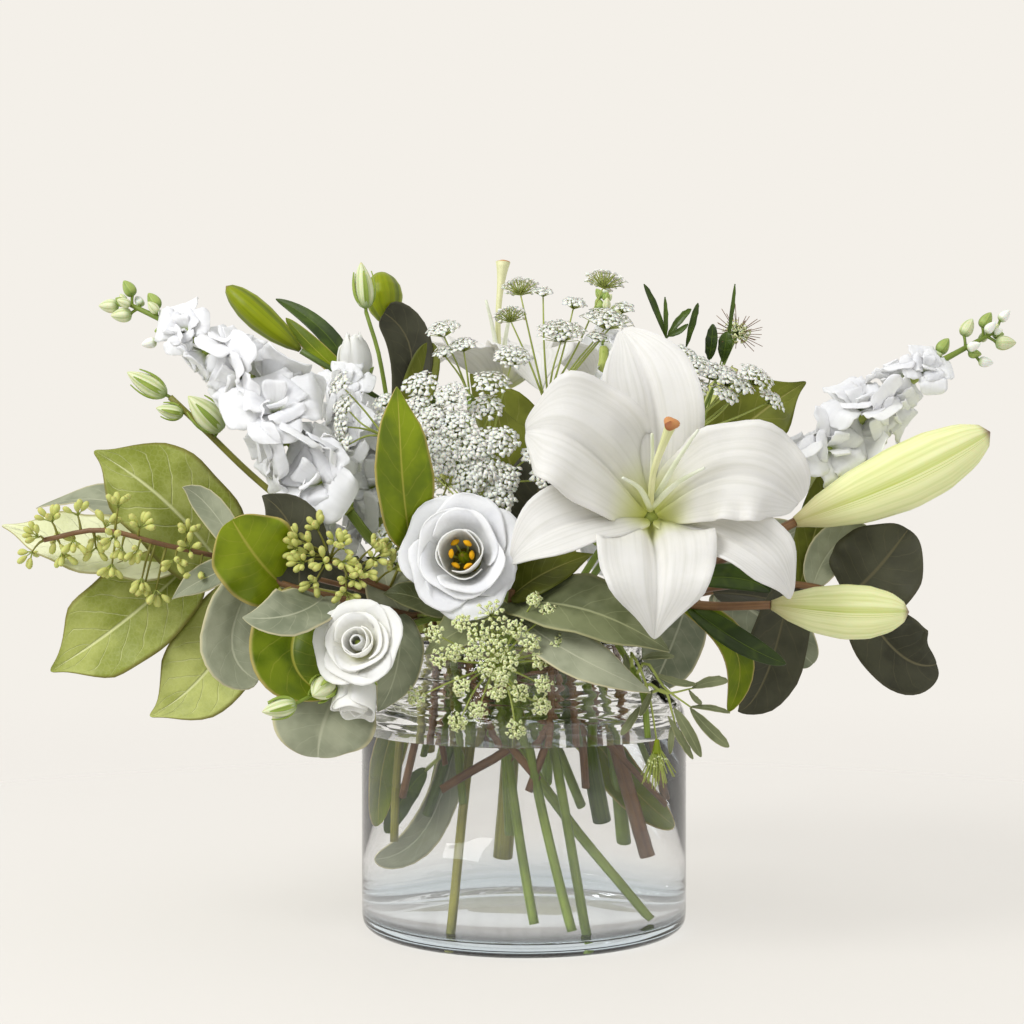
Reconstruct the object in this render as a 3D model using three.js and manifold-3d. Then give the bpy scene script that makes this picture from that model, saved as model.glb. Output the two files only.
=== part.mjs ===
// A low clear-glass vase of water holding a wide white and green table arrangement:
// lilies, lisianthus, stock, lace flower, eucalyptus and lemon-leaf foliage.
// Millimetres, +Z up. The origin is the middle of the vase's flat underside, -Y is the front.
import * as THREE from "three";
import { mergeVertices } from "three/addons/utils/BufferGeometryUtils.js";
import Module from "manifold-3d";

const wasm = await Module();
wasm.setup();
const { Manifold, Mesh: SolidMesh } = wasm;

// ---------------------------------------------------------------- driving dimensions
const BODY_RADIUS = 76; // outside of the vase's cylinder
const NECK_RADIUS = 55.2; // outside of its short neck
const RIM_RADIUS = 57; // outside of the turned-out lip
const VASE_HEIGHT = 136;
const NECK_HEIGHT = 124; // where the vase is narrowest, and the stems cross
const GLASS = 3.4; // wall thickness
const FLOOR = 6.2; // thickness of the solid glass floor
const WATER_LEVEL = 91;
const CLEARANCE = 0.35; // between the water and the glass, and between pieces that nearly touch
const SEAT = 0.6; // between a stem's end and the bloom that sits on it

// The front view that the plan below is drawn on: a level eye EYE_DISTANCE in front of the
// vase and EYE_HEIGHT above the table, on a picture VIEW_FOCUS wide-units deep.
const EYE_DISTANCE = 912;
const EYE_HEIGHT = 194;
const VIEW_CENTRE = 512;
const VIEW_FOCUS = 1940;
const VASE_OFFSET = 5.6; // the vase stands this far right of the eye

// A place in space from [across, down] in the front view and its depth behind the vase's axis.
const at = ([across, down, depth]) => {
  const scale = (EYE_DISTANCE + depth) / VIEW_FOCUS;
  return new THREE.Vector3(
    (across - VIEW_CENTRE) * scale - VASE_OFFSET,
    depth,
    EYE_HEIGHT - (down - VIEW_CENTRE) * scale,
  );
};
const vec = (v) => new THREE.Vector3(...v).normalize();

// ---------------------------------------------------------------- colours
const finish = (color, roughness = 0.6) =>
  new THREE.MeshStandardMaterial({ color, roughness, metalness: 0 });
const LOOKS = {
  glass: new THREE.MeshStandardMaterial({
    color: 0xf2f8f8, roughness: 0.03, metalness: 0, transparent: true, opacity: 0.3,
  }),
  water: new THREE.MeshStandardMaterial({
    color: 0xeaf3f5, roughness: 0.02, metalness: 0, transparent: true, opacity: 0.3,
  }),
  white_petal: finish(0xf6f5ef, 0.55),
  lily_green: finish(0xc3d186, 0.5),
  anther: finish(0xc88a3c, 0.7),
  lace: finish(0xeef0dc, 0.8),
  lace_green: finish(0xb9c86a, 0.8),
  stem: finish(0x6f8a3c, 0.55),
  glossy_leaf: finish(0x3f5e22, 0.35),
  lemon_leaf: finish(0x93a857, 0.5),
  silver_leaf: finish(0x76856f, 0.6),
};

// ---------------------------------------------------------------- solids
// A closed three.js geometry as a manifold solid.
function solid(geometry) {
  const bare = geometry.clone();
  for (const key of Object.keys(bare.attributes)) {
    if (key !== "position") bare.deleteAttribute(key);
  }
  const merged = mergeVertices(bare, 1e-4);
  const index = [];
  for (let i = 0; i < merged.index.count; i += 3) {
    const [a, b, c] = [0, 1, 2].map((k) => merged.index.getX(i + k));
    if (a !== b && b !== c && a !== c) index.push(a, b, c);
  }
  const made = new Manifold(
    new SolidMesh({
      numProp: 3,
      vertProperties: new Float32Array(merged.attributes.position.array),
      triVerts: new Uint32Array(index),
    }),
  );
  return made.volume() < 0 ? solid(flipped(merged)) : made;
}

function flipped(geometry) {
  const turned = geometry.clone();
  const index = Array.from(turned.index.array);
  for (let i = 0; i < index.length; i += 3) {
    [index[i + 1], index[i + 2]] = [index[i + 2], index[i + 1]];
  }
  return turned.setIndex(index);
}

function geometryOf(made) {
  const mesh = made.getMesh();
  const points = new Float32Array(mesh.numVert * 3);
  for (let i = 0; i < mesh.numVert; i++) {
    points.set(mesh.vertProperties.subarray(i * mesh.numProp, i * mesh.numProp + 3), i * 3);
  }
  const geometry = new THREE.BufferGeometry();
  geometry.setAttribute("position", new THREE.BufferAttribute(points, 3));
  geometry.setIndex(new THREE.BufferAttribute(new Uint32Array(mesh.triVerts), 1));
  geometry.computeVertexNormals();
  return geometry;
}

// A round stalk along smooth points, closed at both ends.
function tube(points, radius, { sides = 5, steps = 6 } = {}) {
  const ring = new THREE.Shape(
    Array.from({ length: sides }, (_, i) => {
      const turn = (i / sides) * Math.PI * 2;
      return new THREE.Vector2(Math.cos(turn) * radius, Math.sin(turn) * radius);
    }),
  );
  const extrudePath = new THREE.CatmullRomCurve3(points, false, "centripetal");
  return solid(
    new THREE.ExtrudeGeometry(ring, { steps, bevelEnabled: false, extrudePath, curveSegments: 1 }),
  );
}

// The curve through a blade's base, middle and tip.
function spine(base, mid, tip) {
  const control = mid.clone().multiplyScalar(2).sub(base.clone().add(tip).multiplyScalar(0.5));
  return new THREE.QuadraticBezierCurve3(base, control, tip);
}

// A leaf or petal: a thin blade of `width` along base, mid and tip, its face turned to `face`.
// peak is where along it the blade is widest, taper how pointed its ends are, cup how far its
// edges lift towards the face and wave how far they ripple, both as a share of the half width.
function blade(base, mid, tip, width, face, options = {}) {
  const { rows = 4, cols = 2, peak = 0.45, taper = 1.15, cup = 0.2, wave = 0, thick = 0.9 } = options;
  const curve = spine(base, mid, tip);
  const faces = [];
  const points = [];
  const rowIds = { top: [], under: [] };
  const addPoint = (p) => points.push(p.x, p.y, p.z) / 3 - 1;
  for (let row = 0; row <= rows; row++) {
    const t = 0.5 - 0.5 * Math.cos((Math.PI * row) / rows);
    const middle = curve.getPoint(t);
    const along = curve.getTangent(t);
    const side = new THREE.Vector3().crossVectors(along, face).normalize();
    const normal = new THREE.Vector3().crossVectors(side, along).normalize();
    const half =
      (width / 2) *
      Math.pow(Math.pow(t / peak, peak) * Math.pow((1 - t) / (1 - peak), 1 - peak), taper);
    for (const [name, lift] of [["top", thick / 2], ["under", -thick / 2]]) {
      const ids = [];
      for (let col = 0; col <= cols; col++) {
        const v = (2 * col) / cols - 1;
        if (half < 1e-6 && col > 0) {
          ids.push(ids[0]);
          continue;
        }
        const rise =
          half * (cup * v * v + wave * v * v * Math.sin(row * 2.4 + (v > 0 ? 0 : 1.6)));
        ids.push(
          addPoint(
            middle.clone().addScaledVector(side, half * v).addScaledVector(normal, lift + rise),
          ),
        );
      }
      rowIds[name].push(ids);
    }
  }
  const triangle = (a, b, c) => {
    if (a !== b && b !== c && a !== c) faces.push(a, b, c);
  };
  for (let row = 0; row < rows; row++) {
    const [t0, t1] = [rowIds.top[row], rowIds.top[row + 1]];
    const [u0, u1] = [rowIds.under[row], rowIds.under[row + 1]];
    for (let col = 0; col < cols; col++) {
      triangle(t0[col], t0[col + 1], t1[col + 1]);
      triangle(t0[col], t1[col + 1], t1[col]);
      triangle(u0[col], u1[col + 1], u0[col + 1]);
      triangle(u0[col], u1[col], u1[col + 1]);
    }
    triangle(t0[0], t1[0], u1[0]);
    triangle(t0[0], u1[0], u0[0]);
    triangle(t0[cols], u0[cols], u1[cols]);
    triangle(t0[cols], u1[cols], t1[cols]);
  }
  const geometry = new THREE.BufferGeometry();
  geometry.setAttribute("position", new THREE.BufferAttribute(new Float32Array(points), 3));
  geometry.setIndex(faces);
  return solid(geometry);
}

// A frame with its local z along `axis`, turned by `spin` radians.
function basis(origin, axis, spin = 0) {
  const z = axis.clone().normalize();
  const side = Math.abs(z.z) < 0.9 ? new THREE.Vector3(0, 0, 1) : new THREE.Vector3(1, 0, 0);
  const x = new THREE.Vector3().crossVectors(side, z).normalize().applyAxisAngle(z, spin);
  const y = new THREE.Vector3().crossVectors(z, x);
  return new THREE.Matrix4().makeBasis(x, y, z).setPosition(origin);
}

const local = (frame, x, y, z) => new THREE.Vector3(x, y, z).applyMatrix4(frame);

// A pointed berry or small bud of a few faces, long along `axis`.
function berry(centre, axis, radius, length) {
  const egg = new THREE.SphereGeometry(radius, 5, 2).rotateX(Math.PI / 2);
  egg.scale(1, 1, length / (2 * radius));
  return solid(egg.applyMatrix4(basis(centre, axis)));
}

// A pointed bud: a lathe turned along base to tip.
function bud(base, tip, width, { sides = 6, fat = 0.42, small = false } = {}) {
  const length = base.distanceTo(tip);
  const profile = small
    ? [[0, 0], [0.85, 0.22], [0.9, 0.6], [0, 1]]
    : [[0, 0], [0.3, 0.03], [0.8, fat * 0.45], [1, fat], [0.82, 0.72], [0.3, 0.96], [0, 1]];
  const outline = profile.map(([r, z]) => new THREE.Vector2((r * width) / 2, z * length));
  const turned = new THREE.LatheGeometry(outline, sides).rotateX(Math.PI / 2);
  return solid(turned.applyMatrix4(basis(base, tip.clone().sub(base))));
}

// A ruffled floret: a cupped disc with deep lobes over a short green-white throat.
function floret(centre, axis, radius, spin, lobes = 5) {
  const frame = basis(centre, axis, spin);
  const edge = [];
  for (let i = 0; i < lobes * 2; i++) {
    const turn = (i / (lobes * 2)) * Math.PI * 2;
    const reach = i % 2 ? radius * 0.62 : radius;
    const lift = i % 2 ? radius * 0.36 : radius * 0.12;
    edge.push([Math.cos(turn) * reach, Math.sin(turn) * reach, lift]);
  }
  const rise = 1.1;
  const points = [
    local(frame, 0, 0, radius * 0.04),
    local(frame, 0, 0, -radius * 0.5),
    ...edge.map(([x, y, z]) => local(frame, x, y, z)),
    ...edge.map(([x, y, z]) => local(frame, x * 0.97, y * 0.97, z - rise)),
  ];
  const count = edge.length;
  const faces = [];
  for (let i = 0; i < count; i++) {
    const j = (i + 1) % count;
    faces.push(0, 2 + i, 2 + j);
    faces.push(1, 2 + count + j, 2 + count + i);
    faces.push(2 + i, 2 + count + i, 2 + count + j);
    faces.push(2 + i, 2 + count + j, 2 + j);
  }
  const geometry = new THREE.BufferGeometry();
  geometry.setAttribute(
    "position",
    new THREE.BufferAttribute(new Float32Array(points.flatMap((p) => p.toArray())), 3),
  );
  geometry.setIndex(faces);
  return solid(geometry);
}

// A berry, bud or floret head on its own thin stalk, as one closed shape: three sides for the
// stalk, then `columns` round the widest place, then the point. notch draws every other column
// in, drop and rise are how far the head reaches below and above its widest place.
function onStalk(from, to, { width, drop, rise, columns = 5, notch = 0, thin = 0.85 }) {
  const frame = basis(to, to.clone().sub(from));
  const long = from.distanceTo(to);
  const low = Math.min(drop, long * 0.7);
  const points = [];
  const ringAt = (count, reach, height) =>
    Array.from({ length: count }, (_, i) => {
      const turn = (i / count) * Math.PI * 2;
      const out = reach * (i % 2 ? 1 - notch : 1);
      return points.push(local(frame, Math.cos(turn) * out, Math.sin(turn) * out, height)) - 1;
    });
  const [foot, neck, wide] = [
    ringAt(3, thin, -long),
    [0, 1, 2].map((i) => {
      const turn = (i / 3) * Math.PI * 2;
      return points.push(local(frame, Math.cos(turn) * thin, Math.sin(turn) * thin, -low)) - 1;
    }),
    ringAt(columns, width / 2, 0),
  ];
  const peak = points.push(local(frame, 0, 0, rise)) - 1;
  const faces = [foot[0], foot[2], foot[1]];
  for (let i = 0; i < 3; i++) {
    const j = (i + 1) % 3;
    faces.push(foot[i], foot[j], neck[j], foot[i], neck[j], neck[i]);
  }
  let inner = 0;
  for (let i = 0; i < columns; i++) {
    faces.push(neck[inner % 3], wide[(i + 1) % columns], wide[i]);
    while (inner < 3 && (i + 1) / columns >= (inner + 1) / 3 - 1e-9) {
      faces.push(neck[inner % 3], neck[(inner + 1) % 3], wide[(i + 1) % columns]);
      inner += 1;
    }
    faces.push(wide[i], wide[(i + 1) % columns], peak);
  }
  const geometry = new THREE.BufferGeometry().setFromPoints(points);
  geometry.setIndex(faces);
  return solid(geometry);
}

const fuse = (list) => (list.length === 1 ? list[0] : Manifold.union(list));

// ---------------------------------------------------------------- pieces and their clearance
// Every piece is a list of closed parts that are fused at the end. A part of one piece is only
// taken when it stands clear of every part of the other pieces.
const pieces = new Map();
const boxOf = (made) => {
  const { min, max } = made.boundingBox();
  return new THREE.Box3(new THREE.Vector3(...min), new THREE.Vector3(...max));
};

function add(name, look, ...made) {
  if (!pieces.has(name)) pieces.set(name, { look, parts: [] });
  for (const part of made) {
    pieces.get(name).parts.push({ made: part, box: boxOf(part).expandByScalar(0.3) });
  }
}

function blockerOf(made, own) {
  const box = boxOf(made);
  for (const [name, piece] of pieces) {
    if (own.includes(name)) continue;
    for (const part of piece.parts) {
      if (part.box.intersectsBox(box) && part.made.minGap(made, 0.6) < 0.3) return name;
    }
  }
  return null;
}

// The first of the makings that stands clear, trying the bends in order; null when none does.
const BENDS = [0, -4, 4, -8, 8, -12, 12, -17, 17, -22, 22, -28, 28];
function bentClear(make, own, bends = BENDS) {
  for (const bend of bends) {
    const made = make(bend);
    if (!blockerOf(made, own)) return made;
  }
  return null;
}

const deeper = ([across, down, depth], more) => [across, down, depth + more];

// ---------------------------------------------------------------- vase and water
const FACETS = 23;
function vase() {
  const inside = BODY_RADIUS - GLASS;
  const outline = [
    [0, -1], [71, -1], [71, 0], [75, 2.6], [BODY_RADIUS, 6.2], [BODY_RADIUS, 98], [73.6, 105.6],
    [62, 118], [56.6, 123.4], [NECK_RADIUS, 129], [RIM_RADIUS, 134.8],
    [RIM_RADIUS - 1.4, VASE_HEIGHT], [RIM_RADIUS - 3, VASE_HEIGHT - 1],
    [NECK_RADIUS - GLASS, 128.4], [53.6, 121.2], [59.4, 115.4], [70.4, 103.6],
    [inside, 96.4], [inside, 9], [70, FLOOR + 0.4], [0, FLOOR],
  ];
  return new THREE.LatheGeometry(outline.map((p) => new THREE.Vector2(...p)), FACETS)
    .rotateX(Math.PI / 2);
}
// The underside is trimmed flat, so its middle lies inside one face.
add("vase", "glass", solid(vase()).trimByPlane([0, 0, 1], 0));

function water() {
  const inside = BODY_RADIUS - GLASS - CLEARANCE;
  const outline = [
    [0, FLOOR + CLEARANCE], [69.6, FLOOR + 0.4 + CLEARANCE], [inside, 9.2],
    [inside, WATER_LEVEL], [0, WATER_LEVEL],
  ];
  return solid(
    new THREE.LatheGeometry(outline.map((p) => new THREE.Vector2(...p)), FACETS)
      .rotateX(Math.PI / 2),
  );
}

// ---------------------------------------------------------------- stems through the neck
// Stems cross at the neck and spread below it in one slow turn, so that none meets another.
const TWIST = 0.42; // radians of turn per 100 mm below the neck
function inNeck({ angle, radius }, height) {
  const below = (NECK_HEIGHT - height) / 100;
  const turn = THREE.MathUtils.degToRad(angle) + TWIST * Math.max(below, 0);
  const reach = radius * (1 + 0.26 * Math.abs(below));
  return new THREE.Vector3(Math.cos(turn) * reach, Math.sin(turn) * reach, height);
}

const holes = []; // what the water leaves free, a little wider than each stem
const lines = new Map(); // the lines of each piece's stem and side shoots, that leaves start from

function keepLine(name, points, steps) {
  if (!lines.has(name)) lines.set(name, []);
  const curve = new THREE.CatmullRomCurve3(points, false, "centripetal");
  const places = curve.getSpacedPoints(steps);
  for (let i = 0; i < steps; i++) lines.get(name).push(new THREE.Line3(places[i], places[i + 1]));
}

// The nearest place to a point on any of the lines.
function nearest(among, point) {
  const found = among.map((line) => line.closestPointToPoint(point, true, new THREE.Vector3()));
  return found.reduce((a, b) => (a.distanceTo(point) <= b.distanceTo(point) ? a : b));
}
const nearestOn = (name, point) => nearest(lines.get(name), point);

// A stem from the places in `over` (head first) through its slot in the neck to its foot.
// The places between head and neck give way when something is in the way.
function stem(name, look, { over, slot, foot, thick }) {
  const head = over.map(at);
  const heights = [NECK_HEIGHT + 20, NECK_HEIGHT - 4, 88, 58, 30].filter((z) => z > foot + 12);
  const below = [...heights, foot].map((z) => inNeck(slot, z));
  const route = (dx, dy, dz) =>
    head.map((p, i) => (i === 0 ? p : p.clone().add(new THREE.Vector3(dx, dy, dz)))).concat(below);
  const length = new THREE.CatmullRomCurve3(route(0, 0, 0), false, "centripetal").getLength();
  const detail = { sides: thick < 1.95 ? 4 : 5, steps: Math.max(5, Math.round(length / 32)) };
  const ways = [];
  for (const dz of [0, -6, 6, -12, 12]) {
    for (const dy of [0, 6, -6, 12, -12, 18, -18]) {
      for (const dx of [0, 6, -6, 12, -12]) ways.push([dx, dy, dz]);
    }
  }
  ways.sort((a, b) => Math.hypot(...a) - Math.hypot(...b));
  const clear = (way) => !blockerOf(tube(route(...way), thick, detail), [name]);
  const chosen = route(...ways.find(clear));
  add(name, look, tube(chosen, thick, detail));
  keepLine(name, chosen, detail.steps);
  if (foot < WATER_LEVEL) {
    const end = chosen[chosen.length - 1];
    const beyond = end.clone().sub(chosen[chosen.length - 2]).setLength(0.8).add(end);
    holes.push(tube([...chosen.slice(0, -1), beyond], thick + 0.75, detail));
  }
}

// A side shoot from a stem to the given places, nearest first.
function shoot(name, look, places, thick, detail = { sides: 4, steps: 3 }) {
  const points = places.map(at);
  const from = nearestOn(name, points[0]);
  let bent = null;
  const make = (bend) => {
    const last = points.length - 1;
    bent = points.map((p, i) => (i === last ? p : p.clone().setY(p.y + bend)));
    return tube([from, ...bent], thick, detail);
  };
  const made = bentClear(make, [name], [0, -3, 3, -6, 6, -10, 10]);
  if (!made) return;
  add(name, look, made);
  keepLine(name, [from, ...bent], detail.steps);
}

// A leaf of a leafy stem, with a short stalk to the nearest place on it.
const LEAF_FACE = [0, -1, 0.35];
function leaf(name, look, { base, mid, tip, width, face = LEAF_FACE, ...shape }) {
  const make = (bend) => {
    const [foot, middle, end] = [at(base), at(deeper(mid, bend)), at(deeper(tip, bend * 1.4))];
    const from = nearestOn(name, foot);
    if (from.distanceTo(foot) < 12) return blade(from, middle, end, width, vec(face), shape);
    const into = spine(foot, middle, end).getPoint(0.04);
    const made = blade(foot, middle, end, width, vec(face), shape);
    return fuse([made, tube([from, into], 0.9, { sides: 3, steps: 1 })]);
  };
  const made = bentClear(make, [name]);
  if (made) add(name, look, made);
}

// ---------------------------------------------------------------- lilies
const LILIES = {
  lily_front: {
    base: [651, 530, -58],
    throat: [650, 514, -69],
    tepals: [
      { root: [652, 500, -70], mid: [652, 405, -88], tip: [618, 324, -72], width: 40,
        face: [0, -1, 0.1] },
      { root: [645, 505, -70], mid: [585, 437, -97], tip: [519, 430, -88], width: 50,
        face: [0.3, -1, 0.2] },
      { root: [642, 515, -70], mid: [572, 520, -100], tip: [503, 558, -98], width: 31,
        face: [0.1, -0.8, 0.6] },
      { root: [650, 522, -72], mid: [657, 560, -116], tip: [655, 645, -112], width: 48,
        face: [0, -0.75, 0.65] },
      { root: [660, 518, -72], mid: [742, 540, -104], tip: [801, 598, -98], width: 30,
        face: [-0.1, -0.75, 0.65] },
      { root: [660, 508, -70], mid: [735, 470, -100], tip: [804, 508, -94], width: 46,
        face: [-0.2, -1, 0.25] },
    ],
    rows: 5,
  },
  lily_back: {
    base: [500, 402, 50],
    throat: [500, 388, 50],
    tepals: [
      { root: [496, 386, 44], mid: [455, 352, 25], tip: [432, 352, 8], width: 38,
        face: [0.4, 0.3, 1] },
      { root: [504, 386, 44], mid: [530, 350, 24], tip: [537, 388, 6], width: 40,
        face: [-0.1, 0.3, 1] },
      { root: [508, 386, 50], mid: [560, 360, 50], tip: [590, 375, 60], width: 34,
        face: [-0.4, 0, 1] },
      { root: [504, 386, 56], mid: [530, 345, 85], tip: [545, 365, 115], width: 38,
        face: [-0.2, -0.4, 1] },
      { root: [497, 386, 56], mid: [475, 345, 90], tip: [462, 360, 120], width: 36,
        face: [0.2, -0.4, 1] },
      { root: [493, 386, 50], mid: [445, 355, 60], tip: [412, 370, 75], width: 36,
        face: [0.4, -0.1, 1] },
    ],
    rows: 4,
  },
};

function lilyBloom(name, { base, throat, tepals, rows }) {
  const [foot, heart] = [at(base), at(throat)];
  const out = heart.clone().sub(foot);
  const receptacle = tube([foot, heart.clone().addScaledVector(out, 0.15)], 4.6,
    { sides: 7, steps: 1 });
  const parts = tepals.map(({ root, mid, tip, width, face }) => {
    const start = heart.clone().lerp(at(root), 0.6).addScaledVector(out, -0.2);
    return blade(start, at(mid), at(tip), width, vec(face),
      { rows, peak: 0.54, taper: 1.15, cup: 0.16 });
  });
  add(`${name}_bloom`, "white_petal", receptacle, ...parts);
}
for (const [name, lily] of Object.entries(LILIES)) lilyBloom(name, lily);

const BUDS = {
  lily_bud_low: { base: [771, 605, -62], tip: [909, 612, -60], width: 24 },
  lily_bud_high: { base: [795, 522, -30], tip: [990, 432, -15], width: 30 },
  lily_bud_back: { base: [388, 325, 10], tip: [380, 272, 15], width: 18 },
  lily_bud_left: { base: [300, 350, 10], tip: [226, 286, 15], width: 14 },
};
for (const [name, { base, tip, width }] of Object.entries(BUDS)) {
  add(name, "lily_green", bud(at(base), at(tip), width));
}

// ---------------------------------------------------------------- lisianthus
// A ring of petals joined at the root: a thin cup whose rim is cut into lobes. Its foot is at
// `root`; depth is its height, radius its reach, notch how deep the lobes are cut and shut how
// far the rim turns in again.
function petalRing(root, axis, { radius, depth, lobes, spin = 0, notch = 0.2, shut = 0 }) {
  const frame = basis(root, axis, spin);
  const columns = lobes * 2;
  const rows = [[0.5, 0.22], [0.86, 0.6], [1 - shut, 1]];
  const thick = 1;
  const points = [local(frame, 0, 0, thick), local(frame, 0, 0, 0)];
  const ids = { inner: [], outer: [] };
  for (const [name, grow] of [["inner", 0], ["outer", thick]]) {
    rows.forEach(([reach, height], row) => {
      const ring = [];
      for (let i = 0; i < columns; i++) {
        const turn = (i / columns) * Math.PI * 2;
        const cut = i % 2 ? notch * (row / 2) : 0;
        const out = radius * reach * (1 - cut * 0.5) + grow * (1 - 0.1 * row);
        const up = depth * height * (1 - cut) + (name === "inner" ? 0.3 * (2 - row) : 0);
        ring.push(points.push(local(frame, Math.cos(turn) * out, Math.sin(turn) * out, up)) - 1);
      }
      ids[name].push(ring);
    });
  }
  const faces = [];
  for (let i = 0; i < columns; i++) {
    const j = (i + 1) % columns;
    faces.push(0, ids.inner[0][i], ids.inner[0][j], 1, ids.outer[0][j], ids.outer[0][i]);
    for (let row = 0; row < 2; row++) {
      const [a, b] = [ids.inner[row], ids.inner[row + 1]];
      const [c, d] = [ids.outer[row], ids.outer[row + 1]];
      faces.push(a[i], b[i], b[j], a[i], b[j], a[j], c[i], d[j], d[i], c[i], c[j], d[j]);
    }
    const [e, f] = [ids.inner[2], ids.outer[2]];
    faces.push(e[i], f[i], f[j], e[i], f[j], e[j]);
  }
  const geometry = new THREE.BufferGeometry().setFromPoints(points);
  geometry.setIndex(faces);
  return solid(geometry);
}

// An open rose-like bloom of nested petal rings, seen along its axis. `centre` is the middle
// of its rim.
function roseBloom(name, { centre, axis, radius, depth = radius * 0.85, rings }) {
  const [heart, out] = [at(centre), vec(axis)];
  const root = heart.clone().addScaledVector(out, -depth);
  const foot = root.clone().addScaledVector(out, -1);
  const parts = [berry(foot, out, radius * 0.14, 6)];
  rings.forEach(([lobes, reach, height, shut], ring) => {
    parts.push(petalRing(root.clone().addScaledVector(out, ring * 0.7), out,
      { radius: radius * reach, depth: depth * height, lobes, spin: ring * 0.9, shut }));
  });
  add(name, "white_petal", ...parts);
  return foot.addScaledVector(out, -3);
}

const ROSES = {
  lisianthus_front: { centre: [458, 552, -96], axis: [-0.1, -0.95, 0.2], radius: 24,
    rings: [[5, 1, 1, 0], [4, 0.62, 0.95, 0.08]] },
  lisianthus_small: { centre: [352, 641, -106], axis: [-0.2, -0.9, 0.35], radius: 18,
    rings: [[5, 1, 1, 0.06], [4, 0.5, 1.05, 0.15]] },
  lisianthus_lower: { centre: [353, 716, -99], axis: [0.02, -0.42, -0.9], radius: 12.5,
    depth: 17, rings: [[5, 1, 1, 0.3]] },
  lisianthus_half_open: { centre: [353, 336, 5], axis: [-0.08, -0.1, 1], radius: 12.5, depth: 26,
    rings: [[5, 1, 1, 0.3]] },
  lisianthus_back: { centre: [620, 530, 118], axis: [0.15, 0.9, 0.35], radius: 22,
    rings: [[5, 1, 1, 0], [4, 0.6, 0.95, 0.1]] },
};
const roots = {};
for (const [name, rose] of Object.entries(ROSES)) roots[name] = roseBloom(name, rose);

// ---------------------------------------------------------------- stock
// A flower spike: florets crowded round a pale core, green buds at its tip, a stem below.
const SPIKES = {
  stock_left: {
    axis: [[170, 335, -20], [235, 392, -34], [300, 462, -48], [352, 520, -52]],
    tip: [120, 300, -14],
    florets: 10, size: 18, look: [-0.25, -1, 0.35],
    buds: [[130, 290, -15], [125, 315, -16], [150, 343, -20], [155, 303, -16], [112, 306, -14]],
    stem: { over: [[372, 540, -50], [420, 575, -40]], slot: { angle: -152, radius: 28 }, foot: 66 },
  },
  stock_inner: {
    axis: [[348, 385, 0], [356, 440, -12], [372, 500, -22], [392, 540, -26]],
    tip: [345, 362, 2],
    florets: 7, size: 17, look: [-0.1, -1, 0.5],
    buds: [],
    stem: { over: [[404, 560, -26], [430, 590, -20]], slot: { angle: -125, radius: 16 }, foot: 40 },
  },
  stock_right: {
    axis: [[925, 370, -8], [890, 395, -8], [845, 430, -8], [800, 470, -10]],
    tip: [998, 330, -5],
    florets: 9, size: 16.5, look: [0.15, -1, 0.4],
    buds: [[985, 322, -5], [1002, 343, -6], [985, 362, -6], [942, 348, -5], [966, 330, -5],
      [1004, 316, -4]],
    stem: { over: [[780, 486, -8], [720, 540, 0]], slot: { angle: 0, radius: 30 }, foot: 30 },
  },
  stock_back: {
    axis: [[604, 348, 158], [600, 392, 146], [592, 440, 128], [582, 486, 106]],
    tip: [607, 296, 168],
    florets: 8, size: 17.5, look: [0.1, 1, 0.4],
    buds: [[600, 306, 168], [615, 312, 166], [605, 290, 170]],
    stem: { over: [[578, 504, 98], [566, 545, 70]], slot: { angle: 80, radius: 42 }, foot: 45 },
  },
};

function spike(name, { axis, tip, florets, size, look, buds }) {
  const points = axis.map(at);
  const curve = new THREE.CatmullRomCurve3(points, false, "centripetal");
  const front = vec(look);
  const parts = [];
  for (let gap = 0; gap < 6; gap += 0.3) {
    const last = points.length - 1;
    const run = points[last].distanceTo(points[last - 1]);
    const short = points[last].clone().lerp(points[last - 1], gap / run);
    const core = tube([...points.slice(0, -1), short], 3.2, { sides: 6, steps: 5 });
    if (blockerOf(core, [])) continue;
    parts.push(core);
    break;
  }
  for (let i = 0; i < florets; i++) {
    const t = 0.03 + (0.94 * i) / (florets - 1);
    const along = curve.getTangent(t);
    const turn = i * 2.4;
    const side = new THREE.Vector3().crossVectors(along, front).normalize();
    const out = side.multiplyScalar(Math.sin(turn) * 1.15)
      .addScaledVector(front, 0.35 + Math.cos(turn) * 0.75)
      .addScaledVector(along, -0.25)
      .normalize();
    const grown = size * (0.72 + 0.28 * Math.min(1, t * 3));
    const centre = curve.getPoint(t).addScaledVector(out, grown * 0.62);
    const made = floret(centre, out, grown, i * 1.3, 4);
    if (!blockerOf(made, [`${name}_flowers`])) parts.push(made);
  }
  add(`${name}_flowers`, "white_petal", ...parts);
  if (!buds.length) return;
  const end = at(tip);
  const whole = points[0].distanceTo(end);
  let start = null;
  let stalk = null;
  for (let gap = SEAT; gap < whole * 0.8; gap += 0.4) {
    start = points[0].clone().lerp(end, gap / whole);
    stalk = tube([start, end], 1.5, { sides: 5, steps: 2 });
    if (!blockerOf(stalk, [])) break;
  }
  const up = end.clone().sub(start).normalize().multiplyScalar(2.5);
  const green = [stalk];
  for (const place of buds.map(at)) {
    const from = nearest([new THREE.Line3(start, end)], place);
    const made = onStalk(from, place.add(up), { width: 6.6, drop: 4, rise: 4.5 });
    if (!blockerOf(made, [])) green.push(made);
  }
  add(`${name}_tip`, "lily_green", ...green);
}

// The stems of the lilies, lisianthus and stock, each from just under its bloom.
function below(point, next, gap = SEAT) {
  return point.clone().lerp(next, gap / point.distanceTo(next));
}

const pixels = (point) => {
  const scale = (EYE_DISTANCE + point.y) / VIEW_FOCUS;
  return [
    (point.x + VASE_OFFSET) / scale + VIEW_CENTRE,
    VIEW_CENTRE - (point.z - EYE_HEIGHT) / scale,
    point.y,
  ];
};
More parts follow.
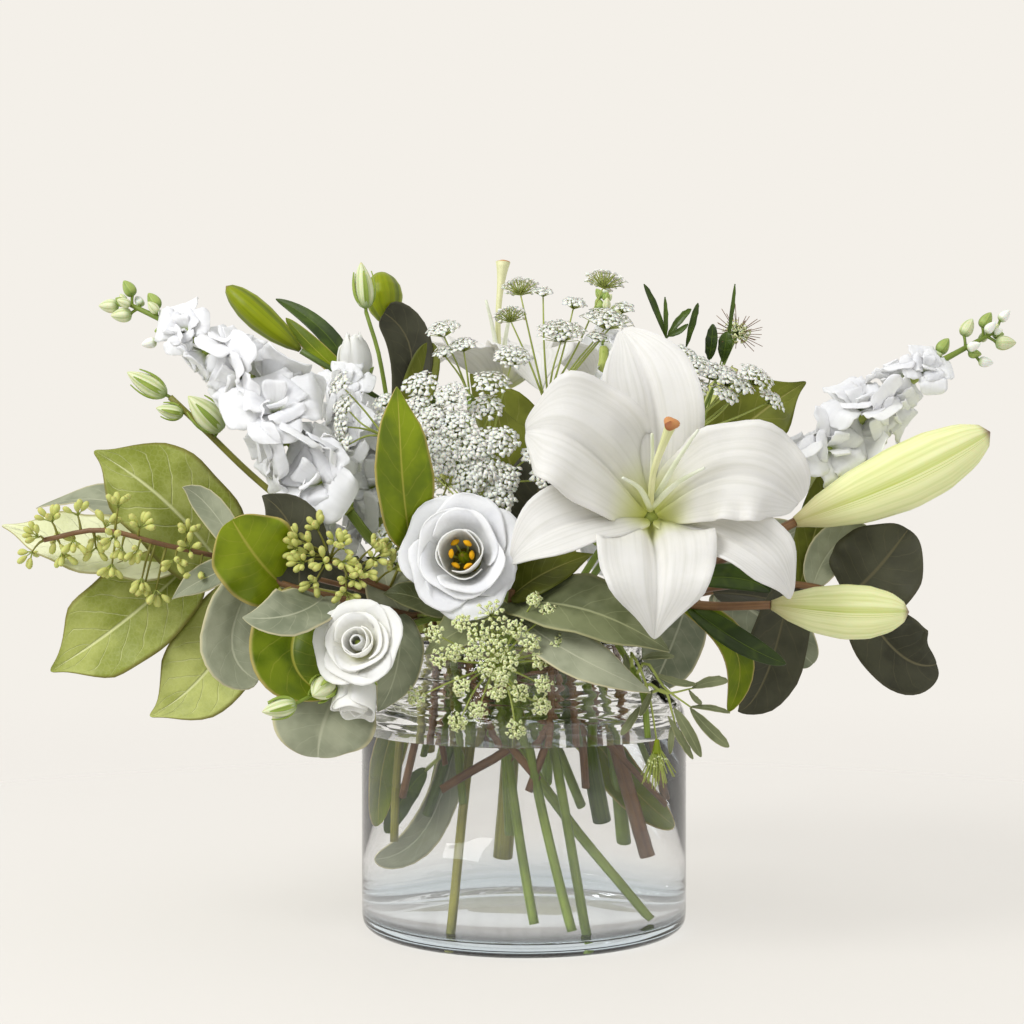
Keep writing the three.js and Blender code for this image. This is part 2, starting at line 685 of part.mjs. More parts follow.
// The same place in the front view, moved by `gap` towards another place.
const nextTo = (point, towards, gap) => pixels(below(at(point), at(towards), gap));

stem("lily_stem_front", "stem", {
  over: [nextTo([651, 530, -58], [656, 552, -42], SEAT), [656, 552, -42], [664, 590, -34]],
  slot: { angle: -60, radius: 34 }, foot: 48, thick: 3.6,
});
stem("lily_stem_back", "stem", {
  over: [nextTo([500, 402, 50], [500, 425, 50], SEAT), [500, 425, 50], [505, 480, 40]],
  slot: { angle: 90, radius: 14 }, foot: 24, thick: 3.2,
});
const fromRoot = (name, towards) => nextTo(pixels(roots[name]), towards, SEAT);
stem("lisianthus_stem_front", "stem", {
  over: [fromRoot("lisianthus_front", [462, 560, -55]), [463, 562, -55], [470, 590, -46]],
  slot: { angle: -112, radius: 34 }, foot: 12, thick: 1.9,
});
stem("lisianthus_stem_small", "stem", {
  over: [fromRoot("lisianthus_small", [372, 652, -70]), [374, 648, -76], [410, 625, -60]],
  slot: { angle: -134, radius: 45 }, foot: 60, thick: 1.7,
});
stem("lisianthus_stem_top", "stem", {
  over: [fromRoot("lisianthus_half_open", [366, 400, 6]), [368, 405, 6], [392, 470, 4]],
  slot: { angle: 150, radius: 19 }, foot: 55, thick: 1.9,
});
stem("lisianthus_stem_left", "stem", {
  over: [[170, 397, -20], [205, 430, -18], [255, 478, -14], [340, 545, -14]],
  slot: { angle: 165, radius: 31 }, foot: 62, thick: 1.6,
});
stem("lisianthus_stem_back", "stem", {
  over: [fromRoot("lisianthus_back", [612, 548, 80]), [611, 550, 78], [590, 580, 60]],
  slot: { angle: 58, radius: 35 }, foot: 35, thick: 1.9,
});
for (const [name, plan] of Object.entries(SPIKES)) {
  const { over, slot, foot } = plan.stem;
  stem(`${name}_stem`, "stem", {
    over: [nextTo(plan.axis[plan.axis.length - 1], over[0], SEAT), ...over], slot, foot,
    thick: 2.4,
  });
}

// Leafy and lace-flower stems; their leaves and heads join them further down.
const STEMS = {
  ammi_centre: { over: [[466, 500, -40], [478, 550, -38]], slot: { angle: -95, radius: 24 },
    foot: 50, thick: 1.8 },
  ammi_top: { over: [[545, 406, -24], [540, 470, -12], [532, 540, 0]], slot: { angle: 50, radius: 14 },
    foot: 58, thick: 1.8 },
  ammi_right: { over: [[690, 440, -28], [660, 480, -14], [600, 550, -6]],
    slot: { angle: -30, radius: 20 }, foot: 60, thick: 1.7 },
  ammi_left: { over: [[380, 445, -48], [400, 500, -46], [440, 570, -40]],
    slot: { angle: -150, radius: 39 }, foot: 70, thick: 1.5 },
  ammi_front: { over: [[496, 660, -80], [500, 645, -62]], slot: { angle: -98, radius: 45 },
    foot: 10, thick: 2 },
  ammi_tassel: { over: [[648, 738, -92], [642, 690, -88], [620, 648, -72]],
    slot: { angle: -44, radius: 45 }, foot: 64, thick: 1.5 },
  ammi_back: { over: [[470, 520, 96], [480, 560, 78]], slot: { angle: 112, radius: 37 },
    foot: 40, thick: 1.8 },
  eucalyptus_up: { over: [[411, 545, -76], [430, 580, -66]], slot: { angle: -122, radius: 45 },
    foot: 70, thick: 1.6 },
  eucalyptus_centre: { over: [[512, 590, -78], [512, 615, -70]], slot: { angle: -76, radius: 45 },
    foot: 66, thick: 1.6 },
  eucalyptus_left: { over: [[240, 560, -72], [286, 585, -76], [346, 600, -72], [407, 615, -58]],
    slot: { angle: -150, radius: 46 }, foot: 58, thick: 1.7 },
  eucalyptus_right: { over: [[860, 600, -12], [800, 585, -10], [700, 590, 0]],
    slot: { angle: -12, radius: 44 }, foot: 50, thick: 1.8 },
  seeded_left: { over: [[44, 540, -60], [100, 530, -62], [165, 545, -60], [260, 566, -50],
    [360, 590, -36]], slot: { angle: -172, radius: 36 }, foot: 68, thick: 1.6 },
  seeded_centre: { over: [[330, 560, -74], [370, 582, -66], [420, 600, -52]],
    slot: { angle: -138, radius: 34 }, foot: 72, thick: 1.5 },
  salal_left: { over: [[170, 560, -34], [220, 572, -22], [320, 592, -8]],
    slot: { angle: 180, radius: 45 }, foot: 40, thick: 1.9 },
  salal_right: { over: [[700, 465, 44], [680, 510, 38], [640, 570, 20]],
    slot: { angle: 24, radius: 42 }, foot: 66, thick: 1.8 },
  salal_back: { over: [[500, 590, 118], [500, 600, 92]], slot: { angle: 96, radius: 46 },
    foot: 60, thick: 1.8 },
  eucalyptus_back_left: { over: [[350, 600, 104], [400, 604, 84]],
    slot: { angle: 134, radius: 44 }, foot: 66, thick: 1.7 },
  eucalyptus_back_right: { over: [[720, 590, 100], [650, 604, 80]],
    slot: { angle: 42, radius: 45 }, foot: 64, thick: 1.7 },
};
for (const [name, plan] of Object.entries(STEMS)) stem(name, "stem", plan);
for (const [name, plan] of Object.entries(SPIKES)) spike(name, plan);

// ---------------------------------------------------------------- side shoots and small buds
shoot("lily_stem_front", "stem", [[672, 600, -46], [712, 606, -56], [769.8, 605, -61.8]], 1.9,
  { sides: 5, steps: 4 });
shoot("lily_stem_front", "stem", [[668, 588, -40], [720, 560, -34], [793.7, 522.6, -30]], 2.1,
  { sides: 5, steps: 4 });
shoot("lily_stem_back", "stem", [[480, 460, 38], [420, 380, 16], [388.4, 327, 10]], 1.7,
  { sides: 5, steps: 4 });
shoot("lily_stem_back", "stem", [[470, 470, 36], [380, 400, 18], [301.6, 351.4, 10]], 1.6,
  { sides: 5, steps: 5 });
for (const plan of [
  { base: [690, 606, -48], mid: [737, 640, -64], tip: [786, 664, -68], width: 10 },
  { base: [686, 600, -42], mid: [735, 648, -46], tip: [728, 712, -42], width: 14 },
  { base: [690, 596, -38], mid: [738, 578, -42], tip: [770, 592, -46], width: 12 },
]) leaf("lily_stem_front", "stem", plan);
leaf("lily_stem_back", "stem", { base: [350, 388, 14], mid: [310, 340, 22], tip: [278, 300, 30],
  width: 14 });

// A small bud on a thin stalk that joins the named stem.
function smallBud(name, { base, tip, width }) {
  const make = (bend) => {
    const [start, end] = [at(deeper(base, bend)), at(deeper(tip, bend))];
    const from = nearestOn(name, start);
    const middle = start.clone().lerp(end, 0.4);
    const long = start.distanceTo(end);
    return onStalk(from, middle, { width, drop: long * 0.36, rise: long * 0.6 });
  };
  const made = bentClear(make, [name]);
  if (made) add(name, "stem", made);
}
for (const plan of [
  { base: [166, 395, -20], tip: [127, 372, -20], width: 9 },
  { base: [183, 414, -20], tip: [156, 408, -22], width: 7 },
  { base: [222, 430, -20], tip: [188, 396, -24], width: 12 },
]) smallBud("lisianthus_stem_left", plan);
shoot("lisianthus_stem_top", "stem", [[388, 440, 3], [380, 360, -11], [366, 312, -10]], 1.1,
  { sides: 4, steps: 4 });
smallBud("lisianthus_stem_top", { base: [366, 308, -10], tip: [361, 262, -10], width: 9 });
shoot("lisianthus_stem_small", "stem", [[380, 662, -79], [352, 682, -85], [322, 690, -94]], 1.2,
  { sides: 4, steps: 3 });
for (const plan of [
  { base: [330, 682, -96], tip: [313, 696, -106], width: 10 },
  { base: [296, 704, -106], tip: [262, 712, -108], width: 8 },
]) smallBud("lisianthus_stem_small", plan);

// ---------------------------------------------------------------- lace flower heads
// Rays spread from a hub, each with a knobbly floret head, together a shallow dome.
function lace(name, { hub, axis, reach, spread, count, size, look = "lace" }) {
  const [centre, out] = [at(hub), vec(axis)];
  const frame = basis(centre, out, 0.4);
  const from = nearestOn(name, centre);
  const parts = [berry(centre, out, reach * 0.1, reach * 0.16)];
  if (from.distanceTo(centre) > 1.5) parts.push(tube([from, centre], 1, { sides: 4, steps: 1 }));
  for (let i = 0; i < count; i++) {
    const share = Math.sqrt((i + 0.4) / count);
    const lean = spread * share;
    const turn = i * 2.39996;
    const long = reach * (1 - 0.14 * share * share) * (1 + 0.07 * Math.sin(i * 5.3));
    const place = local(frame, Math.sin(lean) * Math.cos(turn) * long,
      Math.sin(lean) * Math.sin(turn) * long, Math.cos(lean) * long);
    const width = 2 * size * (0.92 + 0.14 * Math.cos(i * 3.1));
    const both = onStalk(centre.clone().lerp(place, 0.06), place,
      { width, drop: size * 0.5, rise: size * 0.42, columns: 6, notch: 0.3 });
    if (!blockerOf(both, [name])) parts.push(both);
  }
  add(name, look, ...parts);
  pieces.get(name).look = look;
}

const LACE = [
  ["ammi_centre", { hub: [468, 497, -40], axis: [-0.12, -0.72, 0.62], reach: 46, spread: 0.74,
    count: 14, size: 7.4 }],
  ["ammi_centre", { hub: [462, 400, -24], axis: [0, -0.5, 0.8], reach: 22, spread: 0.6,
    count: 4, size: 6 }],
  ["ammi_top", { hub: [545, 402, -24], axis: [0.12, -0.2, 1], reach: 47, spread: 0.85, count: 12,
    size: 7 }],
  ["ammi_right", { hub: [690, 436, -28], axis: [0.55, -0.25, 0.8], reach: 40, spread: 0.7,
    count: 11, size: 6.6 }],
  ["ammi_right", { hub: [724, 372, -10], axis: [0.25, -0.2, 1], reach: 20, spread: 0.7, count: 3,
    size: 4.2 }],
  ["ammi_left", { hub: [380, 440, -50], axis: [-0.9, -0.5, 0.15], reach: 20, spread: 0.8,
    count: 6, size: 5.6 }],
  ["ammi_front", { hub: [497, 664, -84], axis: [-0.06, -0.95, 0.12], reach: 30, spread: 1.12,
    count: 12, size: 5.8, look: "lace_green" }],
  ["ammi_tassel", { hub: [651, 744, -93], axis: [0.1, -0.2, -1], reach: 19, spread: 0.42,
    count: 4, size: 3.4, look: "lace_green" }],
  ["ammi_back", { hub: [470, 512, 100], axis: [-0.15, 0.75, 0.6], reach: 42, spread: 0.76,
    count: 9, size: 7.4 }],
];
for (const [name, plan] of LACE) lace(name, plan);

// ---------------------------------------------------------------- foliage
const OVAL = { rows: 4, cols: 2, peak: 0.48, taper: 1, cup: 0.14 };
const ROUND = { rows: 4, cols: 2, peak: 0.5, taper: 0.72, cup: 0.12 };
const LONG = { rows: 3, cols: 2, peak: 0.42, taper: 1.1, cup: 0.15 };
const LEMON = { rows: 4, cols: 2, peak: 0.42, taper: 0.85, cup: 0.16, wave: 0.05 };

const FOLIAGE = {
  eucalyptus_up: [
    { base: [411, 543, -76], mid: [402, 465, -90], tip: [399, 384, -82], width: 25,
      face: [0.5, -1, 0], ...OVAL },
  ],
  eucalyptus_centre: [
    { base: [516, 600, -74], mid: [590, 610, -102], tip: [668, 652, -99], width: 30,
      face: [-0.1, -0.7, 0.75], ...OVAL },
    { base: [508, 622, -78], mid: [575, 655, -106], tip: [655, 690, -100], width: 20,
      face: [0, -0.85, 0.5], ...OVAL },
    { base: [512, 592, -74], mid: [545, 572, -84], tip: [592, 556, -76], width: 20,
      face: [0, -0.8, 0.6], ...LONG },
    { base: [506, 612, -76], mid: [462, 628, -83], tip: [425, 655, -76], width: 22,
      face: [0.1, -0.7, 0.7], ...OVAL },
  ],
  eucalyptus_left: [
    { base: [284, 575, -76], mid: [256, 556, -88], tip: [232, 520, -92], width: 36,
      face: [0.3, -1, 0.2], ...ROUND },
    { base: [327, 592, -82], mid: [290, 614, -104], tip: [243, 618, -106], width: 24,
      face: [0, -1, 0.5], ...OVAL },
    { base: [262, 568, -74], mid: [232, 640, -84], tip: [258, 680, -88], width: 28,
      face: [0.5, -1, 0], ...ROUND },
    { base: [318, 592, -80], mid: [292, 655, -88], tip: [330, 698, -86], width: 34,
      face: [0, -1, 0.2], ...OVAL },
    { base: [347, 680, -74], mid: [325, 718, -84], tip: [318, 757, -82], width: 42,
      face: [0.1, -1, 0.1], ...ROUND },
    { base: [405, 612, -66], mid: [398, 664, -84], tip: [378, 714, -83], width: 20,
      face: [0.4, -1, 0.1], ...OVAL },
    { base: [246, 562, -74], mid: [210, 508, -66], tip: [182, 488, -66], width: 12, ...LONG },
    { base: [300, 584, -76], mid: [292, 530, -74], tip: [262, 496, -75], width: 26, ...OVAL },
    { base: [242, 566, -72], mid: [205, 578, -66], tip: [172, 598, -68], width: 12, ...LONG },
  ],
  eucalyptus_right: [
    { base: [846, 598, -12], mid: [874, 572, -18], tip: [908, 530, -18], width: 40,
      face: [-0.3, -1, 0.1], ...ROUND },
    { base: [860, 602, -14], mid: [900, 654, -24], tip: [938, 664, -24], width: 31,
      face: [0, -1, 0.2], ...ROUND },
    { base: [812, 590, -10], mid: [842, 540, -2], tip: [886, 544, -2], width: 18, ...OVAL },
    { base: [790, 588, -12], mid: [768, 672, -26], tip: [740, 710, -26], width: 27,
      face: [0.2, -1, 0.1], ...OVAL },
    { base: [800, 586, -6], mid: [826, 500, 14], tip: [850, 455, 14], width: 18, ...OVAL },
  ],
  ammi_top: [
    { base: [540, 462, 4], mid: [510, 425, 14], tip: [470, 374, 16], width: 30,
      face: [0.2, -1, 0.4], ...OVAL },
    { base: [540, 470, 4], mid: [585, 430, 18], tip: [612, 376, 20], width: 28,
      face: [-0.2, -1, 0.3], ...OVAL },
  ],
  lisianthus_stem_top: [
    { base: [385, 450, 4], mid: [395, 360, 4], tip: [386, 316, 2], width: 16, ...LONG },
    { base: [390, 470, 4], mid: [420, 385, 2], tip: [430, 342, 2], width: 16, ...LONG },
  ],
  salal_left: [
    { base: [232, 562, -24], mid: [165, 500, -40], tip: [96, 455, -36], width: 42,
      face: [0.1, -1, 0.45], ...LEMON },
    { base: [178, 562, -33], mid: [90, 548, -40], tip: [2, 521, -38], width: 32,
      face: [0, -0.8, 0.8], ...LEMON },
    { base: [188, 572, -32], mid: [122, 622, -46], tip: [51, 671, -44], width: 38,
      face: [0.1, -1, 0.4], ...LEMON },
    { base: [264, 584, -18], mid: [212, 664, -44], tip: [154, 716, -44], width: 36,
      face: [0.1, -1, 0.3], ...LEMON },
    { base: [172, 558, -34], mid: [125, 505, 2], tip: [34, 502, 20], width: 34,
      face: [0, -0.5, 1], ...OVAL },
    { base: [260, 580, -16], mid: [200, 560, 40], tip: [120, 560, 76], width: 36,
      face: [0, 0.3, 1], ...LEMON },
  ],
  salal_right: [
    { base: [696, 478, 43], mid: [745, 425, 34], tip: [806, 382, 34], width: 32, ...LEMON },
    { base: [690, 495, 41], mid: [770, 480, 70], tip: [850, 505, 84], width: 34,
      face: [0, 0, 1], ...LEMON },
    { base: [700, 470, 44], mid: [712, 405, 76], tip: [736, 370, 100], width: 32,
      face: [0.2, 0.6, 0.8], ...LEMON },
  ],
  salal_back: [
    { base: [500, 596, 112], mid: [440, 625, 140], tip: [380, 680, 146], width: 38,
      face: [-0.1, 0.9, 0.5], ...LEMON },
    { base: [500, 590, 118], mid: [520, 640, 150], tip: [512, 710, 152], width: 38,
      face: [0, 1, 0.3], ...LEMON },
    { base: [500, 600, 108], mid: [566, 628, 140], tip: [640, 670, 142], width: 38,
      face: [0.1, 0.9, 0.5], ...LEMON },
    { base: [500, 592, 116], mid: [545, 560, 150], tip: [560, 510, 166], width: 34,
      face: [0, 0.9, 0.4], ...LEMON },
    { base: [498, 592, 116], mid: [420, 545, 140], tip: [362, 520, 150], width: 36,
      face: [0, 0.9, 0.5], ...LEMON },
  ],
  eucalyptus_back_left: [
    { base: [350, 600, 103], mid: [300, 620, 124], tip: [250, 660, 122], width: 34,
      face: [-0.4, 0.8, 0.3], ...ROUND },
    { base: [360, 600, 102], mid: [330, 560, 128], tip: [286, 536, 134], width: 32,
      face: [-0.3, 0.8, 0.5], ...ROUND },
    { base: [376, 602, 96], mid: [352, 650, 122], tip: [346, 708, 120], width: 34,
      face: [-0.2, 1, 0.1], ...ROUND },
    { base: [352, 600, 100], mid: [290, 590, 84], tip: [226, 612, 74], width: 32,
      face: [-0.6, 0.5, 0.6], ...ROUND },
  ],
  eucalyptus_back_right: [
    { base: [720, 590, 100], mid: [766, 620, 116], tip: [812, 664, 112], width: 34,
      face: [0.4, 0.8, 0.3], ...ROUND },
    { base: [715, 590, 99], mid: [752, 556, 122], tip: [800, 530, 126], width: 32,
      face: [0.3, 0.8, 0.5], ...ROUND },
    { base: [690, 596, 92], mid: [700, 650, 118], tip: [700, 706, 118], width: 34,
      face: [0.2, 1, 0.1], ...ROUND },
    { base: [716, 592, 94], mid: [780, 600, 74], tip: [836, 632, 62], width: 30,
      face: [0.6, 0.4, 0.6], ...ROUND },
  ],
};
shoot("eucalyptus_left", "stem", [[352, 616, -72], [346, 650, -68], [347, 682, -74]], 1.3,
  { sides: 4, steps: 3 });
for (const [name, leaves] of Object.entries(FOLIAGE)) {
  for (const plan of leaves) leaf(name, "leaf", plan);
}

// ---------------------------------------------------------------- seeded eucalyptus
const SPRAYS = {
  seeded_left: [
    [32, 552, -56], [52, 522, -64], [62, 552, -58], [78, 516, -62], [96, 548, -56],
    [118, 508, -64], [112, 564, -62], [140, 528, -66], [142, 578, -62], [156, 590, -60],
    [188, 534, -64], [200, 570, -62], [226, 572, -62],
  ],
  seeded_centre: [
    [298, 540, -80], [304, 562, -84], [318, 530, -78], [316, 580, -84], [336, 544, -86],
    [342, 562, -88], [346, 592, -86], [362, 572, -84], [372, 548, -78], [392, 570, -74],
  ],
};
const BERRY_WIDTH = 5.2;
for (const [name, berries] of Object.entries(SPRAYS)) {
  berries.forEach((place) => {
    const make = (bend) => {
      const centre = at(deeper(place, bend));
      const from = nearestOn(name, centre);
      return onStalk(from, centre, { width: BERRY_WIDTH, drop: 2.8, rise: 4 });
    };
    const made = bentClear(make, [name], [0, -4, 4, -8, 8]);
    if (made) add(name, "leaf", made);
  });
}

// ---------------------------------------------------------------- middles of the blooms
// Sets a piece down into its bloom from in front, until it all but touches.
function setDown(name, look, make) {
  let seated = null;
  for (let lift = 14; lift > -14; lift -= 0.3) {
    const made = make(lift);
    if (blockerOf(made, [name])) break;
    seated = made;
  }
  if (seated) add(name, look, seated);
}
const PISTILS = {
  lily_front_pistil: { base: [650, 510, -73], mid: [654, 470, -104], tip: [671, 424, -120],
    filaments: [[652, 434, -114], [698, 430, -112], [623, 478, -118], [704, 468, -116]] },
  lily_back_pistil: { base: [500, 380, 50], mid: [498, 320, 49], tip: [503, 262, 50],
    filaments: [[486, 300, 42], [512, 306, 58]] },
};
for (const [name, { base, mid, tip, filaments }] of Object.entries(PISTILS)) {
  setDown(name, "anther", (lift) => {
    const [start, end] = [at(base), at(tip)];
    const out = end.clone().sub(start).normalize();
    start.addScaledVector(out, lift);
    const middle = at(mid).addScaledVector(out, lift * 0.5);
    const parts = [
      berry(start.clone().addScaledVector(out, 2.2), out, 2.3, 5),
      tube([start.clone().addScaledVector(out, 1), middle, end], 1.4, { sides: 4, steps: 4 }),
      berry(end, out, 3.6, 5),
    ];
    for (const filament of filaments) {
      const far = at(filament);
      const bow = start.clone().lerp(far, 0.5).addScaledVector(out, 5);
      parts.push(tube([start.clone().addScaledVector(out, 1.5), bow, far], 0.8,
        { sides: 3, steps: 2 }));
    }
    return fuse(parts);
  });
}
setDown("lisianthus_front_centre", "anther", (lift) => {
  const out = vec(ROSES.lisianthus_front.axis);
  const start = at(ROSES.lisianthus_front.centre).addScaledVector(out, lift - 17);
  const frame = basis(start, out);
  const stamens = [0, 1, 2, 3, 4].map((i) => {
    const turn = (i / 5) * Math.PI * 2;
    const [c, s] = [Math.cos(turn), Math.sin(turn)];
    return bud(local(frame, c, s, 3), local(frame, c * 5, s * 5, 11), 3, { sides: 4, small: true });
  });
  return fuse([bud(start, start.clone().addScaledVector(out, 12), 5, { small: true }), ...stamens]);
});

// ---------------------------------------------------------------- water round the stems
add("water", "water", water().subtract(fuse(holes)));

// ---------------------------------------------------------------- the group
const SMOOTH = 0.15;
const root = new THREE.Group();
for (const [name, { look, parts }] of pieces) {
  const looks = { leaf: "silver_leaf", stem: "stem" };
  const colour = name.startsWith("salal") ? "lemon_leaf" : looks[look] ?? look;
  const bodies = fuse(parts.map((part) => part.made)).simplify(SMOOTH).decompose();
  const whole = bodies.reduce((a, b) => (a.volume() >= b.volume() ? a : b));
  const mesh = new THREE.Mesh(geometryOf(whole), LOOKS[colour].clone());
  mesh.name = name;
  root.add(mesh);
}
export default root;
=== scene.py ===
# %% [markdown]
# # A white and green table centerpiece
#
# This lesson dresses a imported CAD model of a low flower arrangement: an open lily and a second
# one behind it, lisianthus, stock, lace flower, eucalyptus, lemon leaf and seeded sprays in a
# short-necked glass vase of water. The CAD model fixes where everything is. Here every flower,
# leaf and stem gets its real form and finish, from the same plan of places.

# %% Load the frame
import math

import bpy
import numpy as np
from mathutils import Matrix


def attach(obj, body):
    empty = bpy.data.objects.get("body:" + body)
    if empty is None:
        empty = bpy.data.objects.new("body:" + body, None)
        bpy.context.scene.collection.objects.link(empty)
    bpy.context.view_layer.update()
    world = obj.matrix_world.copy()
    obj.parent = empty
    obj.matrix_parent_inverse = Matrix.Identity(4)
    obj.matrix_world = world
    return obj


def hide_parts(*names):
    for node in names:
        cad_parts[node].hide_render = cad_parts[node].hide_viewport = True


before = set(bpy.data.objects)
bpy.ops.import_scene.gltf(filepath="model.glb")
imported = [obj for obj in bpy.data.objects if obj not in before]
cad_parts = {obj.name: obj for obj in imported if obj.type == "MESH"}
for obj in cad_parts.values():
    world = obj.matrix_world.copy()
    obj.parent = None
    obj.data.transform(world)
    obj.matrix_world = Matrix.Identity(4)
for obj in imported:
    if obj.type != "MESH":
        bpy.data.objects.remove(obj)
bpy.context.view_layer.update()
bpy.ops.object.select_all(action="DESELECT")
print("CAD pieces:", len(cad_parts))

# %% [markdown]
# ## The plan
#
# A florist judges an arrangement from the front, so the plan is written in the front view:
# [across, down, depth], the first two on a picture 1024 wide and the depth in millimetres
# behind the vase's middle. One eye point turns such a place into metres. The CAD model uses
# the same eye, so a petal here lies on the CAD blade that carries its name.

# %% Places in the front view
MM = 0.001
EYE_DISTANCE = 912.0  # mm in front of the vase
EYE_HEIGHT = 194.0  # mm above the table
VIEW_CENTRE = 512.0  # the middle of the view, across and down
VIEW_FOCUS = 1940.0  # the focus of the view, in the same units
VASE_OFFSET = 5.6  # mm that the vase stands right of the eye


def at(place):
    """The point in metres for [across, down, depth]."""
    across, down, depth = place
    scale = (EYE_DISTANCE + depth) / VIEW_FOCUS
    side = (across - VIEW_CENTRE) * scale - VASE_OFFSET
    return np.array([side, depth, EYE_HEIGHT - (down - VIEW_CENTRE) * scale]) * MM


def unit(vector):
    """The same direction with length one, for one vector or a row of them."""
    vector = np.asarray(vector, float)
    return vector / np.maximum(np.linalg.norm(vector, axis=-1, keepdims=True), 1e-12)


def spoke(side, other, turn):
    """The direction that lies `turn` radians round from side towards other."""
    return side * math.cos(turn) + other * math.sin(turn)


def tint(red, green, blue):
    """A colour given as on a paint card, 0 to 255, as the linear values a shader wants."""
    shares = np.array([red, green, blue]) / 255
    return (*np.where(shares < 0.0405, shares / 12.92, ((shares + 0.055) / 1.055) ** 2.4), 1.0)


print("the middle of the view is at", at([512, 512, 0]).round(4))

# %% [markdown]
# ## Camera
#
# The eye looks level at the flowers from 0.9 m with a portrait lens, so the rim of the vase
# shows as a thin ellipse. The lens comes from the same focus number as the plan.

# %% Camera
SENSOR = 36.0  # mm
PICTURE = 1024  # the width of the view in the plan


def look_from_the_front():
    """A level camera at the plan's eye."""
    lens = bpy.data.cameras.new("eye")
    lens.sensor_width = SENSOR
    lens.sensor_fit = "HORIZONTAL"
    lens.lens = SENSOR * VIEW_FOCUS / PICTURE
    lens.clip_start = 0.05
    eye = bpy.data.objects.new("eye", lens)
    eye.location = (-VASE_OFFSET * MM, -EYE_DISTANCE * MM, EYE_HEIGHT * MM)
    eye.rotation_euler = (math.pi / 2, 0, 0)
    bpy.context.collection.objects.link(eye)
    bpy.context.scene.camera = eye
    return eye


eye = look_from_the_front()
print("lens:", round(eye.data.lens, 1), "mm")

# %% [markdown]
# ## Blanks
#
# A petal, a leaf and a bract are all one thing to a maker: a thin sheet that is cut, cupped and
# waved. A stem and a bud are a round stalk that is swollen and bent. So two blanks are modelled
# by hand, a flat sheet with a thickness and a round stalk, and each flower part is a copy of one
# that is laid along its own line. What is seen large gets a blank of more cells.

# %% Take a blank off the bench
def deselect():
    """Leaves nothing selected, because an operator acts on all that is."""
    if bpy.context.object and bpy.context.object.mode == "EDIT":
        bpy.ops.object.mode_set(mode="OBJECT")
    bpy.ops.object.select_all(action="DESELECT")


def take_blank(bench):
    """The corners and faces of the object on the bench, which is then cleared."""
    mesh = bench.data
    corners = np.empty(len(mesh.vertices) * 3)
    mesh.vertices.foreach_get("co", corners)
    loops = np.empty(len(mesh.loops), int)
    mesh.loops.foreach_get("vertex_index", loops)
    starts = np.empty(len(mesh.polygons), int)
    mesh.polygons.foreach_get("loop_start", starts)
    bpy.data.objects.remove(bench)
    bpy.data.meshes.remove(mesh)
    return {"corners": corners.reshape(-1, 3), "loops": loops, "starts": starts}


# %% The sheet blank
def sheet_blank(rows, cols):
    """A sheet of rows by cols cells with two faces and a closed rim."""
    deselect()
    bpy.ops.mesh.primitive_grid_add(x_subdivisions=cols, y_subdivisions=rows, size=2)
    bench = bpy.context.object
    bpy.ops.object.modifier_add(type="SOLIDIFY")
    bench.modifiers[0].thickness = 2
    bench.modifiers[0].offset = 0
    bpy.ops.object.modifier_apply(modifier=bench.modifiers[0].name)
    blank = take_blank(bench)
    x, y, z = blank["corners"].T
    blank["col"] = np.rint((x + 1) / 2 * cols).astype(int)
    blank["row"] = np.rint((y + 1) / 2 * rows).astype(int)
    blank["side"] = np.sign(z)
    blank["size"] = (rows, cols)
    return blank


FINE, PLAIN, SMALL, COARSE = (30, 16), (18, 10), (12, 8), (5, 2)  # rows and columns
SHEETS = {size: sheet_blank(*size) for size in (FINE, PLAIN, SMALL, COARSE)}
print("sheet blanks:", {size: len(blank["starts"]) for size, blank in SHEETS.items()})

# %% The stalk blank
def stalk_blank(rows, sides):
    """A round stalk: a ring, drawn up row by row, with both ends closed."""
    deselect()
    bpy.ops.mesh.primitive_circle_add(vertices=sides, radius=1, fill_type="NGON")
    bench = bpy.context.object
    bpy.ops.object.mode_set(mode="EDIT")
    bpy.ops.mesh.select_all(action="SELECT")
    for _ in range(rows):
        bpy.ops.mesh.extrude_region_move(TRANSFORM_OT_translate={"value": (0, 0, 1)})
    bpy.ops.mesh.select_all(action="SELECT")
    bpy.ops.mesh.normals_make_consistent(inside=False)
    bpy.ops.object.mode_set(mode="OBJECT")
    blank = take_blank(bench)
    x, y, z = blank["corners"].T
    blank["row"] = np.rint(z).astype(int)
    blank["turn"] = np.arctan2(y, x)
    blank["size"] = (rows, sides)
    return blank


LONGEST, ROUNDEST, SLIM, SHORT, TINY = (40, 10), (24, 24), (10, 8), (6, 6), (3, 4)
STALKS = {size: stalk_blank(*size) for size in (LONGEST, ROUNDEST, SLIM, SHORT, TINY)}
print("stalk blanks:", {size: len(blank["starts"]) for size, blank in STALKS.items()})

# %% [markdown]
# ## Gathering a piece
#
# A flower holds dozens of such copies. They are gathered in one bunch and become one mesh, with
# a finish for every face, a UV map that runs base to tip, and one tone value for each part, so
# that no two leaves have quite the same green.

# %% The bunch
class Bunch:
    """Parts gathered for one piece of the arrangement."""

    def __init__(self):
        self.corners, self.loops, self.starts = [], [], []
        self.uvs, self.finishes, self.tones = [], [], []
        self.corner_count = self.loop_count = 0

    def add(self, blank, corners, uv, finish, tone=0.5):
        """Adds a copy of a blank with its corners moved to their places."""
        self.corners.append(corners)
        self.loops.append(blank["loops"] + self.corner_count)
        self.starts.append(blank["starts"] + self.loop_count)
        self.uvs.append(uv[blank["loops"]])
        self.finishes += [finish] * len(blank["starts"])
        self.tones.append(np.full(len(corners), tone))
        self.corner_count += len(corners)
        self.loop_count += len(blank["loops"])


FINISHES = {}  # the materials by name


